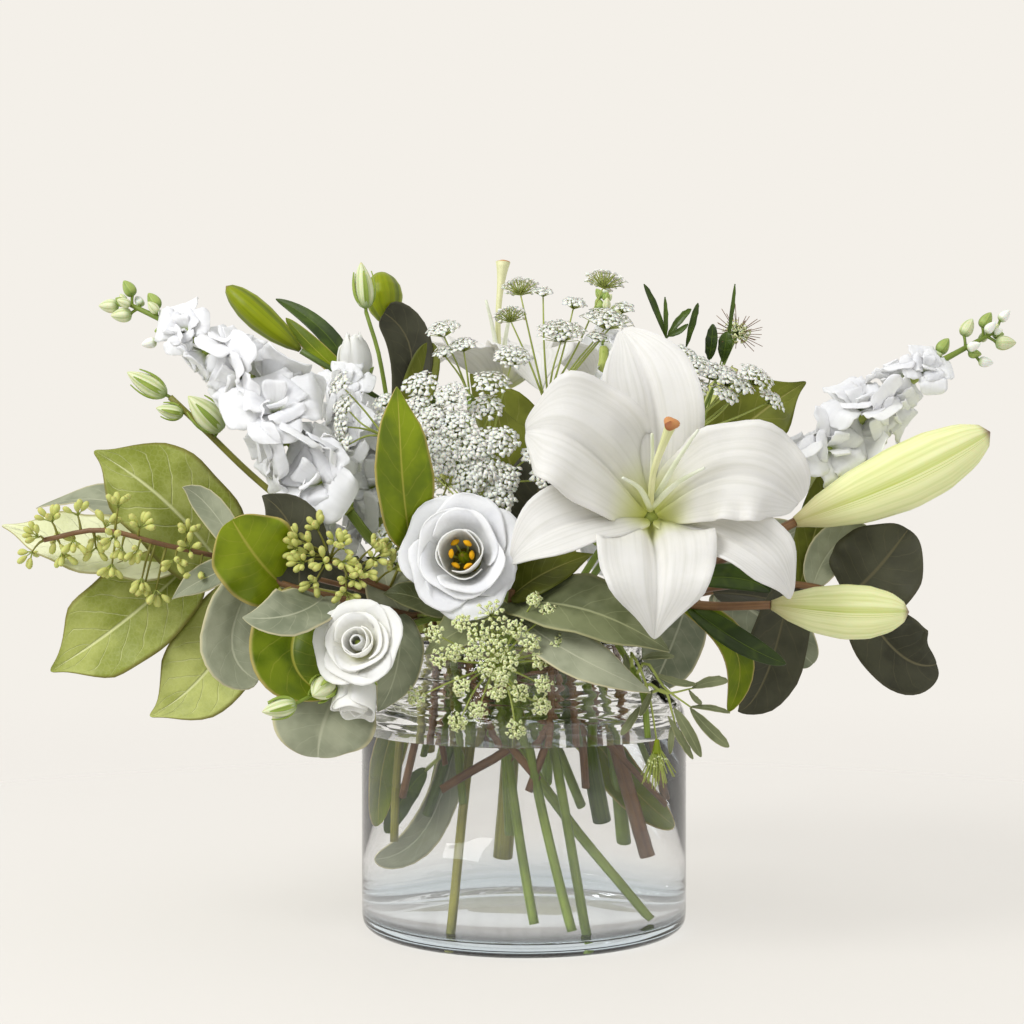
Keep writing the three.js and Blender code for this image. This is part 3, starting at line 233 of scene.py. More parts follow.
def make_piece(name, bunch, slot, *nodes):
    """One mesh from a bunch, riding on the root body in place of its CAD nodes."""
    mesh = bpy.data.meshes.new(name)
    mesh.vertices.add(bunch.corner_count)
    mesh.vertices.foreach_set("co", np.concatenate(bunch.corners).ravel())
    mesh.loops.add(bunch.loop_count)
    mesh.loops.foreach_set("vertex_index", np.concatenate(bunch.loops))
    starts = np.concatenate(bunch.starts)
    mesh.polygons.add(len(starts))
    mesh.polygons.foreach_set("loop_start", starts)
    used = sorted(set(bunch.finishes))
    for finish in used:
        mesh.materials.append(FINISHES[finish])
    order = {finish: index for index, finish in enumerate(used)}
    mesh.polygons.foreach_set("material_index", [order[f] for f in bunch.finishes])
    mesh.polygons.foreach_set("use_smooth", np.ones(len(starts), bool))
    uv_map = mesh.uv_layers.new(name="UVMap")
    uv_map.data.foreach_set("uv", np.concatenate(bunch.uvs).ravel())
    tone = mesh.attributes.new("tone", "FLOAT", "POINT")
    tone.data.foreach_set("value", np.concatenate(bunch.tones).astype(np.float32))
    mesh.update(calc_edges=True)
    piece = bpy.data.objects.new(name, mesh)
    bpy.context.collection.objects.link(piece)
    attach(piece, "root")
    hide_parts(*nodes)
    mesh.calc_loop_triangles()
    print(f"{name}: {len(mesh.loop_triangles)} triangles")

# %% [markdown]
# ## Laying a blank along a line
#
# A leaf follows an arch from its base over its middle to its tip. Across it, the blade is cupped,
# its edges ripple, and the midrib is a shallow groove. A sheet is laid on such a surface, and
# half its thickness goes to each side along the surface's own normal, so the blade stays closed.

# %% Sheets
AHEAD = (0, -1, 0.35)  # how a blade faces, if nothing else is said


def skin(blank, surface, thick):
    """The corners of a sheet blank laid on a grid of points, with its thickness."""
    along = np.gradient(surface, axis=0)
    across = np.gradient(surface, axis=1)
    normal = unit(np.cross(across, along))
    row, col = blank["row"], blank["col"]
    return surface[row, col] + normal[row, col] * (blank["side"] * thick / 2)[:, None]


def sheet_uv(blank, steps):
    """Across in u and base to tip in v, for each corner of a sheet."""
    rows, cols = blank["size"]
    return np.stack([blank["col"] / cols, steps[blank["row"]]], axis=1)


def arch(base, mid, tip, steps):
    """Points and directions of the arch through base, middle and tip."""
    t = steps[:, None]
    control = 2 * mid - (base + tip) / 2
    points = (1 - t) ** 2 * base + 2 * t * (1 - t) * control + t**2 * tip
    return points, unit(2 * (1 - t) * (control - base) + 2 * t * (tip - control))


def outline(steps, peak, taper, point, drip):
    """Half the width of a blade along it, as a share: nothing at the ends, one at its peak.

    taper draws in its foot and point its tip; drip thins the last third to a drawn-out tip.
    """
    t = np.clip(steps, 1e-4, 1 - 1e-4)
    body = (t / peak) ** peak * ((1 - t) / (1 - peak)) ** (1 - peak)
    share = np.where(t < peak, body**taper, body**point)
    late = np.clip((t - 0.68) / 0.32, 0, 1)
    return share * (1 - drip * late**2 * (3 - 2 * late))


def blade(bunch, finish, base, mid, tip, width, face=AHEAD, peak=0.45, taper=1.15,
          point=None, drip=0.0, cup=0.2, wave=0.0, waves=3.0, groove=0.0, recurve=0.0,
          twist=0.0, thick=0.5, detail=PLAIN, tone=0.5, phase=0.0):
    """A leaf or petal of `width` mm between three points, turned to `face`.

    cup lifts its edges, wave ripples them, groove sinks its midrib, recurve bends its tip back
    and twist turns the face along it, in radians.
    """
    blank = SHEETS[detail]
    rows, cols = blank["size"]
    steps = 0.5 - 0.5 * np.cos(np.pi * np.arange(rows + 1) / rows)
    v = np.linspace(-1, 1, cols + 1)[None, :]
    points, along = arch(base, mid, tip, steps)
    side = unit(np.cross(along, np.asarray(face, float)))
    normal = unit(np.cross(side, along))
    if twist:
        turn = (twist * steps)[:, None]
        side, normal = (side * np.cos(turn) + normal * np.sin(turn),
                        normal * np.cos(turn) - side * np.sin(turn))
    share = outline(steps, peak, taper, taper if point is None else point, drip)
    half = np.maximum(share * width / 2, 0.25)[:, None] * MM
    t = steps[:, None]
    ripple = np.sin(2 * np.pi * waves * t + phase + np.where(v > 0, 0, 1.7))
    rise = half * (cup * v**2 + wave * np.abs(v) ** 2.5 * ripple)
    rise = rise - groove * half * np.exp(-((v / 0.12) ** 2)) * (1 - 0.7 * t)
    back = recurve * np.linalg.norm(tip - base) * np.clip((t - 0.6) / 0.4, 0, 1) ** 2
    surface = (points[:, None, :] + side[:, None, :] * (half * v)[..., None]
               + normal[:, None, :] * (rise - back)[..., None])
    bunch.add(blank, skin(blank, surface, thick * MM), sheet_uv(blank, steps), finish, tone)


# %% [markdown]
# A stalk follows a smooth line through any number of places. Its frame is carried from row to
# row without turning, so that it never twists, and its radius can swell or thin on the way.

# %% Stalks
STEPS_BETWEEN = 12  # points that are reckoned from one place to the next


def smooth_line(places, count):
    """`count` + 1 points, evenly spaced, on the centripetal curve through the places."""
    places = np.asarray(places, float)
    ends = [2 * places[0] - places[1], *places, 2 * places[-1] - places[-2]]
    fine = []
    for p0, p1, p2, p3 in zip(ends, ends[1:], ends[2:], ends[3:]):
        knots = np.cumsum([0] + [max(np.linalg.norm(b - a), 1e-9) ** 0.5
                                 for a, b in ((p0, p1), (p1, p2), (p2, p3))])
        t = np.linspace(knots[1], knots[2], STEPS_BETWEEN + 1)[:-1, None]
        a1 = p0 + (p1 - p0) * t / knots[1]
        a2 = p1 + (p2 - p1) * (t - knots[1]) / (knots[2] - knots[1])
        a3 = p2 + (p3 - p2) * (t - knots[2]) / (knots[3] - knots[2])
        b1 = a1 + (a2 - a1) * t / knots[2]
        b2 = a2 + (a3 - a2) * (t - knots[1]) / (knots[3] - knots[1])
        fine.append(b1 + (b2 - b1) * (t - knots[1]) / (knots[2] - knots[1]))
    fine = np.concatenate([*fine, places[-1:]])
    run = np.concatenate([[0], np.cumsum(np.linalg.norm(np.diff(fine, axis=0), axis=1))])
    wanted = np.linspace(0, run[-1], count + 1)
    return np.stack([np.interp(wanted, run, fine[:, k]) for k in range(3)], axis=1)


def carried_frames(points):
    """Two directions across the line at each point, carried along without turning."""
    along = unit(np.gradient(points, axis=0))
    start = np.array([0, 0, 1.0]) if abs(along[0][2]) < 0.9 else np.array([1.0, 0, 0])
    side = unit(np.cross(start, along[0]))
    sides = [side]
    for direction in along[1:]:
        side = unit(side - direction * np.dot(side, direction))
        sides.append(side)
    sides = np.array(sides)
    return sides, np.cross(along, sides)


def stalk(bunch, finish, places, radius, detail=SLIM, tone=0.5, swell=None, ribs=0.0,
          lobes=6):
    """A round stalk of `radius` mm along the places; swell is its radius share row by row."""
    blank = STALKS[detail]
    rows, sides = blank["size"]
    points = smooth_line(places, rows)
    side, other = carried_frames(points)
    steps = np.linspace(0, 1, rows + 1)
    share = np.ones(rows + 1) if swell is None else np.maximum(swell(steps), 0.02)
    row, turn = blank["row"], blank["turn"]
    reach = radius * MM * share[row] * (1 + ribs * np.cos(lobes * turn))
    corners = (points[row] + side[row] * (reach * np.cos(turn))[:, None]
               + other[row] * (reach * np.sin(turn))[:, None])
    uv = np.stack([turn / (2 * np.pi) + 0.5, steps[row]], axis=1)
    bunch.add(blank, corners, uv, finish, tone)
    return points


def tapering(start, end):
    """A radius share that runs evenly from start to end."""
    return lambda t: start + (end - start) * t


def bulging(ends, more):
    """A radius share that is larger in the middle than at its ends."""
    return lambda t: ends + more * np.sin(np.pi * t)


print("ready to lay blades and stalks")

# %% [markdown]
# ## What repeats by the hundred
#
# Lace flower is hundreds of florets 2 to 3 mm wide. Each is a star-edged cone of twenty faces on
# a three-sided stalk: enough to sparkle in the light, and light enough to be planted by the
# thousand. All its copies in one umbellet are placed at once.

# %% Tiny florets and berries
def floret_blank(petals=5, depth=0.5, notch=0.34, dish=0.1):
    """A tiny star-edged flower with its point down and its face up."""
    deselect()
    bpy.ops.mesh.primitive_cone_add(vertices=petals * 2, radius1=0, radius2=1, depth=depth,
                                    end_fill_type="TRIFAN", location=(0, 0, -depth / 2))
    bench = bpy.context.object
    bpy.ops.object.transform_apply(location=True)
    for vertex in bench.data.vertices:
        x, y, z = vertex.co
        reach = math.hypot(x, y)
        if reach > 0.5:
            step = round(math.atan2(y, x) / (math.pi / petals))
            share = 1 - notch if step % 2 else 1
            vertex.co = (x * share, y * share, z)
        elif z > -depth / 2:
            vertex.co.z -= dish
    return take_blank(bench)


def berry_blank():
    """A small egg, pointed at its foot."""
    deselect()
    bpy.ops.mesh.primitive_uv_sphere_add(segments=8, ring_count=6, radius=1)
    bench = bpy.context.object
    for vertex in bench.data.vertices:
        vertex.co.x *= 0.8 + 0.2 * vertex.co.z
        vertex.co.y *= 0.8 + 0.2 * vertex.co.z
        vertex.co.z = vertex.co.z * 1.25 + 0.1
    return take_blank(bench)


def twig_blank():
    """A three-sided twig one unit long."""
    deselect()
    bpy.ops.mesh.primitive_cone_add(vertices=3, radius1=1, radius2=0.8, depth=1,
                                    location=(0, 0, 0.5))
    bpy.ops.object.transform_apply(location=True)
    return take_blank(bpy.context.object)


FLORET, BERRY, TWIG = floret_blank(), berry_blank(), twig_blank()


def plant(bunch, finish, blank, places, axes, sizes, longs=None, spin=None, tone=0.5):
    """Copies of a small blank, each at its place along its axis.

    sizes are across the axis and longs along it, in metres.
    """
    places, axes = np.atleast_2d(places), unit(np.atleast_2d(axes))
    count = len(places)
    sizes = np.broadcast_to(sizes, count)
    longs = sizes if longs is None else np.broadcast_to(longs, count)
    spin = np.zeros(count) if spin is None else spin
    guide = np.where(np.abs(axes[:, 2:]) < 0.9, [[0, 0, 1.0]], [[1.0, 0, 0]])
    side = unit(np.cross(guide, axes))
    other = np.cross(axes, side)
    turned = side * np.cos(spin)[:, None] + other * np.sin(spin)[:, None]
    across = np.cross(axes, turned)
    x, y, z = blank["corners"].T
    corners = (places[:, None, :]
               + turned[:, None, :] * (sizes[:, None] * x)[..., None]
               + across[:, None, :] * (sizes[:, None] * y)[..., None]
               + axes[:, None, :] * (longs[:, None] * z)[..., None])
    copy = np.arange(count)[:, None]
    every = {"loops": (blank["loops"] + len(x) * copy).ravel(),
             "starts": (blank["starts"] + len(blank["loops"]) * copy).ravel()}
    flat = np.stack([np.hypot(x, y), z], axis=1)
    bunch.add(every, corners.reshape(-1, 3), np.tile(flat, (count, 1)), finish, tone)


print("faces of a floret, a berry and a twig:", [len(b["starts"]) for b in (FLORET, BERRY, TWIG)])

# %% [markdown]
# ## Finishes
#
# A petal is white, but never one white: ribs run its length, the throat is green, and the light
# sinks a little into it. A leaf shows its veins paler than the blade, and each leaf has its own
# tone. A finish is a recipe of nodes. Written as sums it stays readable, so each node's output
# is wrapped as a value that can be added, multiplied, ramped and mixed.

# %% Nodes as sums
def put(tree, kind, values=None, **settings):
    """A new node with its settings and its sockets filled; gives its outputs as values."""
    made = tree.nodes.new(kind)
    for key, value in settings.items():
        setattr(made, key, value)
    for key, value in (values or {}).items():
        fill(made.inputs[key], value)
    return Outputs(made)


def fill(socket, value):
    """Links a value to a socket, or sets a plain one on it."""
    if isinstance(value, Value):
        socket.id_data.links.new(value.socket, socket)
    else:
        socket.default_value = value


def reckon(operation):
    """The method that does one operation of the math node."""
    def method(self, *others):
        values = dict(enumerate([self, *others]))
        return put(self.tree, "ShaderNodeMath", values, operation=operation)[0]
    return method


class Outputs:
    """The outputs of a node, each as a value."""

    def __init__(self, node):
        self.node = node

    def __getitem__(self, key):
        return Value(self.node.outputs[key])


class Value:
    """What one output gives at each place on a surface."""

    def __init__(self, socket):
        self.socket = socket
        self.tree = socket.id_data

    __add__, __sub__, __mul__ = reckon("ADD"), reckon("SUBTRACT"), reckon("MULTIPLY")
    __truediv__, __pow__, __abs__ = reckon("DIVIDE"), reckon("POWER"), reckon("ABSOLUTE")
    cosine, fraction, larger = reckon("COSINE"), reckon("FRACT"), reckon("MAXIMUM")

    def __rsub__(self, first):
        return self * -1.0 + first

    def ramp(self, low, high, start=0.0, end=1.0):
        """A smooth step between low and high."""
        values = {"Value": self, "From Min": low, "From Max": high, "To Min": start,
                  "To Max": end}
        return put(self.tree, "ShaderNodeMapRange", values, interpolation_type="SMOOTHSTEP")[0]

    def mix(self, first, second):
        """This share of the second colour in the first; a paint card colour is tinted."""
        first, second = (tint(*colour) if isinstance(colour, tuple) and len(colour) == 3
                         else colour for colour in (first, second))
        values = {0: self, 6: first, 7: second}
        return put(self.tree, "ShaderNodeMix", values, data_type="RGBA")[2]

    def parts(self):
        """Its three numbers, where it is a place."""
        return put(self.tree, "ShaderNodeSeparateXYZ", {0: self})

    def noise(self, scale, detail):
        """Soft noise over it, where it is a place."""
        values = {"Vector": self, "Scale": scale, "Detail": detail}
        return put(self.tree, "ShaderNodeTexNoise", values)[0]


def own_uv(tree):
    """A piece's UV map: u across and v from base to tip."""
    return put(tree, "ShaderNodeUVMap", uv_map="UVMap")[0]


def own_place(tree):
    """A place on the piece, in metres."""
    return put(tree, "ShaderNodeTexCoord")["Object"]


def own_tone(tree):
    """The tone value of each part."""
    return put(tree, "ShaderNodeAttribute", attribute_name="tone")["Fac"]


# %% [markdown]
# The effects that several finishes share are node groups: veins, ribs and a soft mottle. A group
# is built once and placed in each finish with its own numbers.

# %% Veins, ribs and mottle
def new_group(name, inputs, outputs):
    """An empty node group with number sockets, and what it is given."""
    group = bpy.data.node_groups.new(name, "ShaderNodeTree")
    for socket, value in inputs.items():
        made = group.interface.new_socket(socket, in_out="INPUT", socket_type="NodeSocketFloat")
        made.default_value = value
    for socket in outputs:
        group.interface.new_socket(socket, in_out="OUTPUT", socket_type="NodeSocketFloat")
    return group, put(group, "NodeGroupInput")


def vein_group():
    """Midrib, side veins and edge of a blade, from its UV map."""
    group, given = new_group("blade veins", dict(Count=7.0, Slant=1.6, Width=0.12),
                             ["Midrib", "Veins", "Edge"])
    uv = own_uv(group)
    across, along = uv.parts()[0], uv.parts()[1]
    away = abs(across - 0.5) * 2
    slanted = (away + uv.noise(5.0, 1.0) * 0.25) ** 1.25 * given["Slant"]
    lines = (along * given["Count"] - slanted).fraction()
    veins = (abs(lines - 0.5) * 2).ramp(1.0 - given["Width"], 1.0)
    put(group, "NodeGroupOutput", {"Midrib": away.ramp(0.01, 0.055, 1, 0),
                                   "Veins": veins * away.ramp(0.6, 1.0, 1, 0.2),
                                   "Edge": away.ramp(0.9, 0.99)})
    return group


def rib_group():
    """Fine ribs along a petal, and how near the throat a place is."""
    group, given = new_group("petal ribs", dict(Ribs=26.0, Throat=0.3), ["Ribs", "Throat"])
    parts = own_uv(group).parts()
    stretched = put(group, "ShaderNodeCombineXYZ", {0: parts[0] * given["Ribs"], 1: parts[1]})
    throat = 1.0 - parts[1] / given["Throat"]
    put(group, "NodeGroupOutput", {"Ribs": stretched[0].noise(1.0, 3.0),
                                   "Throat": throat.larger(0.0)})
    return group


def mottle_group():
    """Soft clouds over a surface, with a fine grain for the bump."""
    group, given = new_group("mottle", dict(Scale=120.0), ["Clouds", "Grain"])
    place = own_place(group)
    put(group, "NodeGroupOutput", {
        "Clouds": place.noise(given["Scale"], 3.0).ramp(0.35, 0.65),
        "Grain": place.noise(given["Scale"] * 12.0, 2.0)})
    return group


VEINS, RIBS, MOTTLE = vein_group(), rib_group(), mottle_group()


def shared(tree, group, **values):
    """A shared effect placed in a finish with its own values."""
    return put(tree, "ShaderNodeGroup", values, node_tree=group)


def new_finish(name, roughness, **plain):
    """A material with a Principled shader whose plain values are set on its own sockets."""
    material = bpy.data.materials.new(name)
    material.use_nodes = True
    shader = material.node_tree.nodes["Principled BSDF"]
    for key, value in {"Roughness": roughness, **plain}.items():
        shader.inputs[key.replace("_", " ")].default_value = value
    FINISHES[name] = material
    return material.node_tree, shader


def raise_surface(shader, height, strength, distance):
    """A bump from a height, in metres."""
    values = {"Height": height, "Strength": strength, "Distance": distance}
    fill(shader.inputs["Normal"], put(shader.id_data, "ShaderNodeBump", values)[0])


print("shared effects:", [group.name for group in (VEINS, RIBS, MOTTLE)])

# %% [markdown]
# Petals scatter light inside, so each takes a little subsurface. The rib pattern gives both the
# faint grey lines and the bump. The throat colour fades out along the petal.

# %% Petals
def petal_finish(name, white, shade, throat, throat_reach, ribs=14, rib_shade=0.35, rough=0.5):
    """A white petal with faint ribs and a coloured throat."""
    tree, shader = new_finish(name, rough, Subsurface_Weight=0.4, Subsurface_Scale=0.005,
                              Subsurface_Radius=(1.0, 0.95, 0.8), Specular_IOR_Level=0.3)
    lines = shared(tree, RIBS, Ribs=ribs, Throat=throat_reach)
    clouds = shared(tree, MOTTLE, Scale=90.0)
    faint = lines["Ribs"].ramp(0.4, 0.75) * rib_shade + clouds["Clouds"] * 0.12
    colour = (own_tone(tree) * 0.2).mix(faint.mix(white, shade), shade)
    colour = (lines["Throat"] ** 1.3).mix(colour, throat)
    fill(shader.inputs["Base Color"], colour)
    raise_surface(shader, lines["Ribs"] + clouds["Grain"] * 0.25, 0.35, 0.0006)


petal_finish("lily petal", (240, 237, 230), (206, 204, 192), (226, 230, 128), 0.24, ribs=20,
             rib_shade=0.5)
petal_finish("lisianthus petal", (253, 253, 253), (238, 239, 241), (196, 204, 130), 0.2)
# The innermost petals: a dark olive throat that reaches over the whole petal, partly the real
# green of the heart and partly painted shade in the deep centre of the cup.
petal_finish("lisianthus heart", (253, 253, 250), (238, 239, 234), (104, 100, 10), 1.25)
petal_finish("lisianthus cream", (255, 254, 247), (245, 244, 230), (214, 214, 120), 0.5)
petal_finish("stock petal", (254, 254, 254), (240, 240, 241), (186, 204, 96), 0.24, ribs=10,
             rib_shade=0.4, rough=0.6)
print("petals:", list(FINISHES))

# %% [markdown]
# Leaves differ in tone, vein and edge more than in kind: lemon leaf is light with a net of pale
# veins, eucalyptus is grey with a pale rim, and lily leaves are dark and glossy.

# %% Leaves
def leaf_finish(name, light, dark, vein, edge=None, rough=0.5, count=7.0, slant=1.6, width=0.12,
                vein_share=0.3, gloss=0.25, raised=0.3, net=0.0):
    """A leaf in two greens, with its veins and its rim."""
    tree, shader = new_finish(name, rough, Specular_IOR_Level=gloss)
    lines = shared(tree, VEINS, Count=count, Slant=slant, Width=width)
    clouds = shared(tree, MOTTLE, Scale=70.0)
    drawn = lines["Midrib"].larger(lines["Veins"] * vein_share)
    share = (clouds["Clouds"] + own_tone(tree)) * 0.5
    colour = (drawn * 0.8).mix(share.mix(dark, light), vein)
    if net:
        values = {"Vector": own_place(tree), "Scale": 420.0}
        cells = put(tree, "ShaderNodeTexVoronoi", values, feature="DISTANCE_TO_EDGE")
        colour = cells["Distance"].ramp(0.02, 0.14, net, 0.0).mix(colour, vein)
    if edge:
        colour = (lines["Edge"] * 0.8).mix(colour, edge)
    fill(shader.inputs["Base Color"], colour)
    fill(shader.inputs["Roughness"], clouds["Clouds"].ramp(0.0, 1.0, rough - 0.06, rough + 0.08))
    raise_surface(shader, drawn * -1.0 + clouds["Grain"] * 0.35, raised, 0.0005)


leaf_finish("lemon leaf", (194, 200, 116), (132, 142, 50), (224, 227, 168), (120, 112, 50),
            slant=1.9, width=0.1, vein_share=0.6, raised=0.8, net=0.07)
leaf_finish("pale lemon leaf", (242, 244, 204), (206, 211, 150), (240, 240, 208), (160, 150, 84),
            rough=0.48, slant=1.9, width=0.1, vein_share=0.6, gloss=0.4, raised=0.8, net=0.12)
leaf_finish("silver leaf", (172, 175, 148), (116, 123, 98), (188, 190, 162), (212, 204, 162),
            rough=0.62)
leaf_finish("sage leaf", (140, 146, 106), (88, 95, 60), (164, 168, 124), (168, 166, 120),
            rough=0.55, gloss=0.3)
leaf_finish("bright leaf", (138, 154, 14), (80, 100, 4), (176, 172, 70), (190, 170, 100),
            rough=0.45, vein_share=0.25, raised=0.35)
# Slate is a darker copy of the eucalyptus grey-green, for leaves that sit in the shade of the
# bunch: partly their own dark tone, partly painted shade.
leaf_finish("slate leaf", (84, 84, 66), (48, 48, 34), (112, 106, 78), (80, 78, 58),
            rough=0.6, vein_share=0.25)
leaf_finish("olive leaf", (126, 132, 44), (80, 86, 18), (158, 154, 84), raised=0.4)
leaf_finish("sepal leaf", (170, 188, 88), (124, 150, 56), (182, 196, 110), vein_share=0.6)
leaf_finish("dark leaf", (72, 96, 10), (26, 44, 2), (98, 120, 34), rough=0.38, count=3,
            slant=0.2, width=0.3, vein_share=0.25, gloss=0.35, raised=0.4)
print("leaves:", [name for name in FINISHES if "leaf" in name])

# %% [markdown]
# Stems, buds, stigma and florets are finished by a ramp along or around them: a bud's seams are
# darker lines down its length, and its tip browns.

# %% Stems, buds and florets
def stem_finish(name, light, dark):
    """A stem with fine streaks along it."""
    tree, shader = new_finish(name, 0.45, Specular_IOR_Level=0.4)
    stretch = put(tree, "ShaderNodeMapping", {"Vector": own_uv(tree), "Scale": (14.0, 1.2, 1)})
    streaks = stretch[0].noise(1.5, 4.0)
    clouds = shared(tree, MOTTLE, Scale=60.0)
    share = (streaks.ramp(0.35, 0.65) + clouds["Clouds"]) * 0.5
    fill(shader.inputs["Base Color"], (own_tone(tree) * 0.4).mix(share.mix(dark, light), light))
    raise_surface(shader, streaks + clouds["Grain"], 0.4, 0.0003)


def bud_finish(name, seams, light, dark, base, tip):
    """A bud with darker seams down its length, its own colour at the foot and at the tip."""
    tree, shader = new_finish(name, 0.42, Specular_IOR_Level=0.25, Subsurface_Weight=0.1,
                              Subsurface_Scale=0.003)
    parts = own_uv(tree).parts()
    seam = (parts[0] * (seams * 2 * math.pi)).cosine().ramp(0.55, 1.0)
    ribs = shared(tree, RIBS, Ribs=40.0, Throat=0.25)
    clouds = shared(tree, MOTTLE, Scale=50.0)
    share = seam * 0.55 + ribs["Ribs"].ramp(0.4, 0.7) * 0.4
    colour = (ribs["Throat"] * 0.8).mix(share.mix(light, dark), base)
    fill(shader.inputs["Base Color"], parts[1].ramp(0.93, 1.0).mix(colour, tip))
    raise_surface(shader, clouds["Grain"] * 0.2 - seam, 0.3, 0.0006)


def floret_finish(name, heart, rim, rough=0.7):
    """A tiny floret or berry: one colour at its heart, another at its rim."""
    tree, shader = new_finish(name, rough, Specular_IOR_Level=0.25, Subsurface_Weight=0.1,
                              Subsurface_Scale=0.001)
    clouds = shared(tree, MOTTLE, Scale=160.0)
    colour = own_uv(tree).parts()[0].ramp(0.05, 0.45).mix(heart, rim)
    fill(shader.inputs["Base Color"], (clouds["Clouds"] * 0.15).mix(colour, heart))
    raise_surface(shader, clouds["Grain"], 0.3, 0.0002)


stem_finish("green stem", (136, 156, 60), (84, 106, 32))
stem_finish("dark stem", (92, 112, 48), (50, 66, 24))
stem_finish("bright stem", (172, 188, 84), (122, 148, 44))
stem_finish("pale stem", (186, 196, 104), (142, 156, 68))
stem_finish("brown stem", (140, 104, 66), (92, 62, 46))
stem_finish("olive stem", (150, 148, 62), (100, 98, 38))
stem_finish("filament", (244, 246, 232), (218, 226, 180))
stem_finish("style", (238, 236, 190), (206, 210, 138))
bud_finish("lily bud", 3, (248, 250, 190), (192, 204, 88), (190, 176, 124), (118, 78, 46))
bud_finish("deep bud", 3, (138, 150, 4), (84, 102, 1), (80, 90, 20), (120, 110, 30))
bud_finish("green bud", 4, (168, 186, 102), (112, 138, 56), (110, 134, 60), (206, 210, 150))
bud_finish("pale bud", 5, (226, 230, 190), (178, 194, 116), (130, 154, 80), (206, 212, 150))
bud_finish("white bud", 4, (250, 250, 244), (226, 232, 206), (160, 184, 96), (244, 246, 230))
floret_finish("lace floret", (232, 231, 200), (255, 255, 249))
floret_finish("green floret", (140, 162, 24), (242, 246, 190))
floret_finish("seed berry", (178, 160, 96), (204, 208, 120), rough=0.5)
floret_finish("stamen", (150, 100, 10), (236, 176, 20), rough=0.8)
# The stigma's darker heart colour runs down one side of its stalk: painted shade on that side,
# over its own orange-brown.
floret_finish("stigma", (146, 88, 52), (206, 146, 92), rough=0.55)
print("all plant finishes:", len(FINISHES))

# %% [markdown]
# Glass and water are clear, so what is seen is what they bend and mirror. Light from the lamps
# would stop at them, so a shadow ray passes straight through: that keeps the stems lit without
# waiting for caustics. The water is drawn a hair into the glass, because a film of air between
# the two would mirror like silver.

# %% Glass and water
def clear_finish(name, colour, index):
    """A clear solid that bends light but lets the lamps through."""
    tree, shader = new_finish(name, 0.0, Transmission_Weight=1.0, IOR=index, Metallic=0.0,
                              Base_Color=colour)
    rays = put(tree, "ShaderNodeLightPath")
    through = put(tree, "ShaderNodeBsdfTransparent", {"Color": colour})
    values = {0: rays["Is Shadow Ray"], 1: Value(shader.outputs[0]), 2: through[0]}
    mixer = put(tree, "ShaderNodeMixShader", values)
    fill(tree.nodes["Material Output"].inputs["Surface"], mixer[0])
    return tree, shader


def add_foot_and_ripples(tree, shader, foot, colour):
    """Blue in the thick foot of the vase, and slow ripples in the glass of its neck."""
    place = own_place(tree)
    height = place.parts()[2]
    fill(shader.inputs["Base Color"], height.ramp(0.002, 0.016).mix(foot, colour))
    stretch = put(tree, "ShaderNodeMapping", {"Vector": place, "Scale": (26, 26, 190)})
    where = height.ramp(0.092, 0.104) * height.ramp(0.118, 0.134, 1.0, 0.5)
    raise_surface(shader, stretch[0].noise(1.0, 1.5) * where, 0.6, 0.004)


GLASS = (0.994, 0.997, 1.0, 1.0)
add_foot_and_ripples(*clear_finish("clear glass", GLASS, 1.5), (0.6, 0.71, 0.8, 1.0), GLASS)
clear_finish("clear water", (0.995, 0.997, 1.0, 1.0), 1.33)
print("clear finishes:", [name for name in FINISHES if "clear" in name])

# %% [markdown]
# ## Vase and water
#
# The vase is blown glass: a straight body, a rounded shoulder and a short neck with a turned-out
# lip. A glass blower turns it, so here its section is drawn once and spun about the axis. The
# corners of the section are cut twice first, because glass has no sharp line anywhere.

# %% Spin a section
VASE_SECTION = [  # [radius, height] in mm, up the outside and down the inside
    [0, 0], [71, 0], [75, 2.6], [76, 6.2], [76, 98], [73.6, 105.6], [62, 118], [56.6, 123.4],
    [55.2, 129], [57, 134.8], [55.6, 136], [54, 135], [51.8, 128.4], [53.6, 121.2],
    [59.4, 115.4], [70.4, 103.6], [72.6, 96.4], [72.6, 9], [70, 6.6], [0, 6.2],
]
WATER_SECTION = [  # its rim climbs the glass a little, as water does
    [0, 6.1], [70, 6.5], [72.3, 7.8], [72.75, 9.4], [72.75, 91.9], [72.3, 91.9], [71.4, 91.25],
    [69.5, 91], [0, 91],
]


CUT_SHARE = 0.25  # of an edge, at most
CUT_REACH = 3.0  # mm, at most


def cut_corners(section, times):
    """The section with its corners cut to smooth bends; both ends stay where they are."""
    line = np.array(section, float)
    for _ in range(times):
        first, second = line[:-1], line[1:]
        long = np.maximum(np.linalg.norm(second - first, axis=1), 1e-6)
        cut = (second - first) * np.minimum(CUT_SHARE, CUT_REACH / long)[:, None]
        near, far = first + cut, second - cut
        line = np.concatenate([line[:1], np.stack([near, far], axis=1).reshape(-1, 2)[1:-1],
                               line[-1:]])
    return line


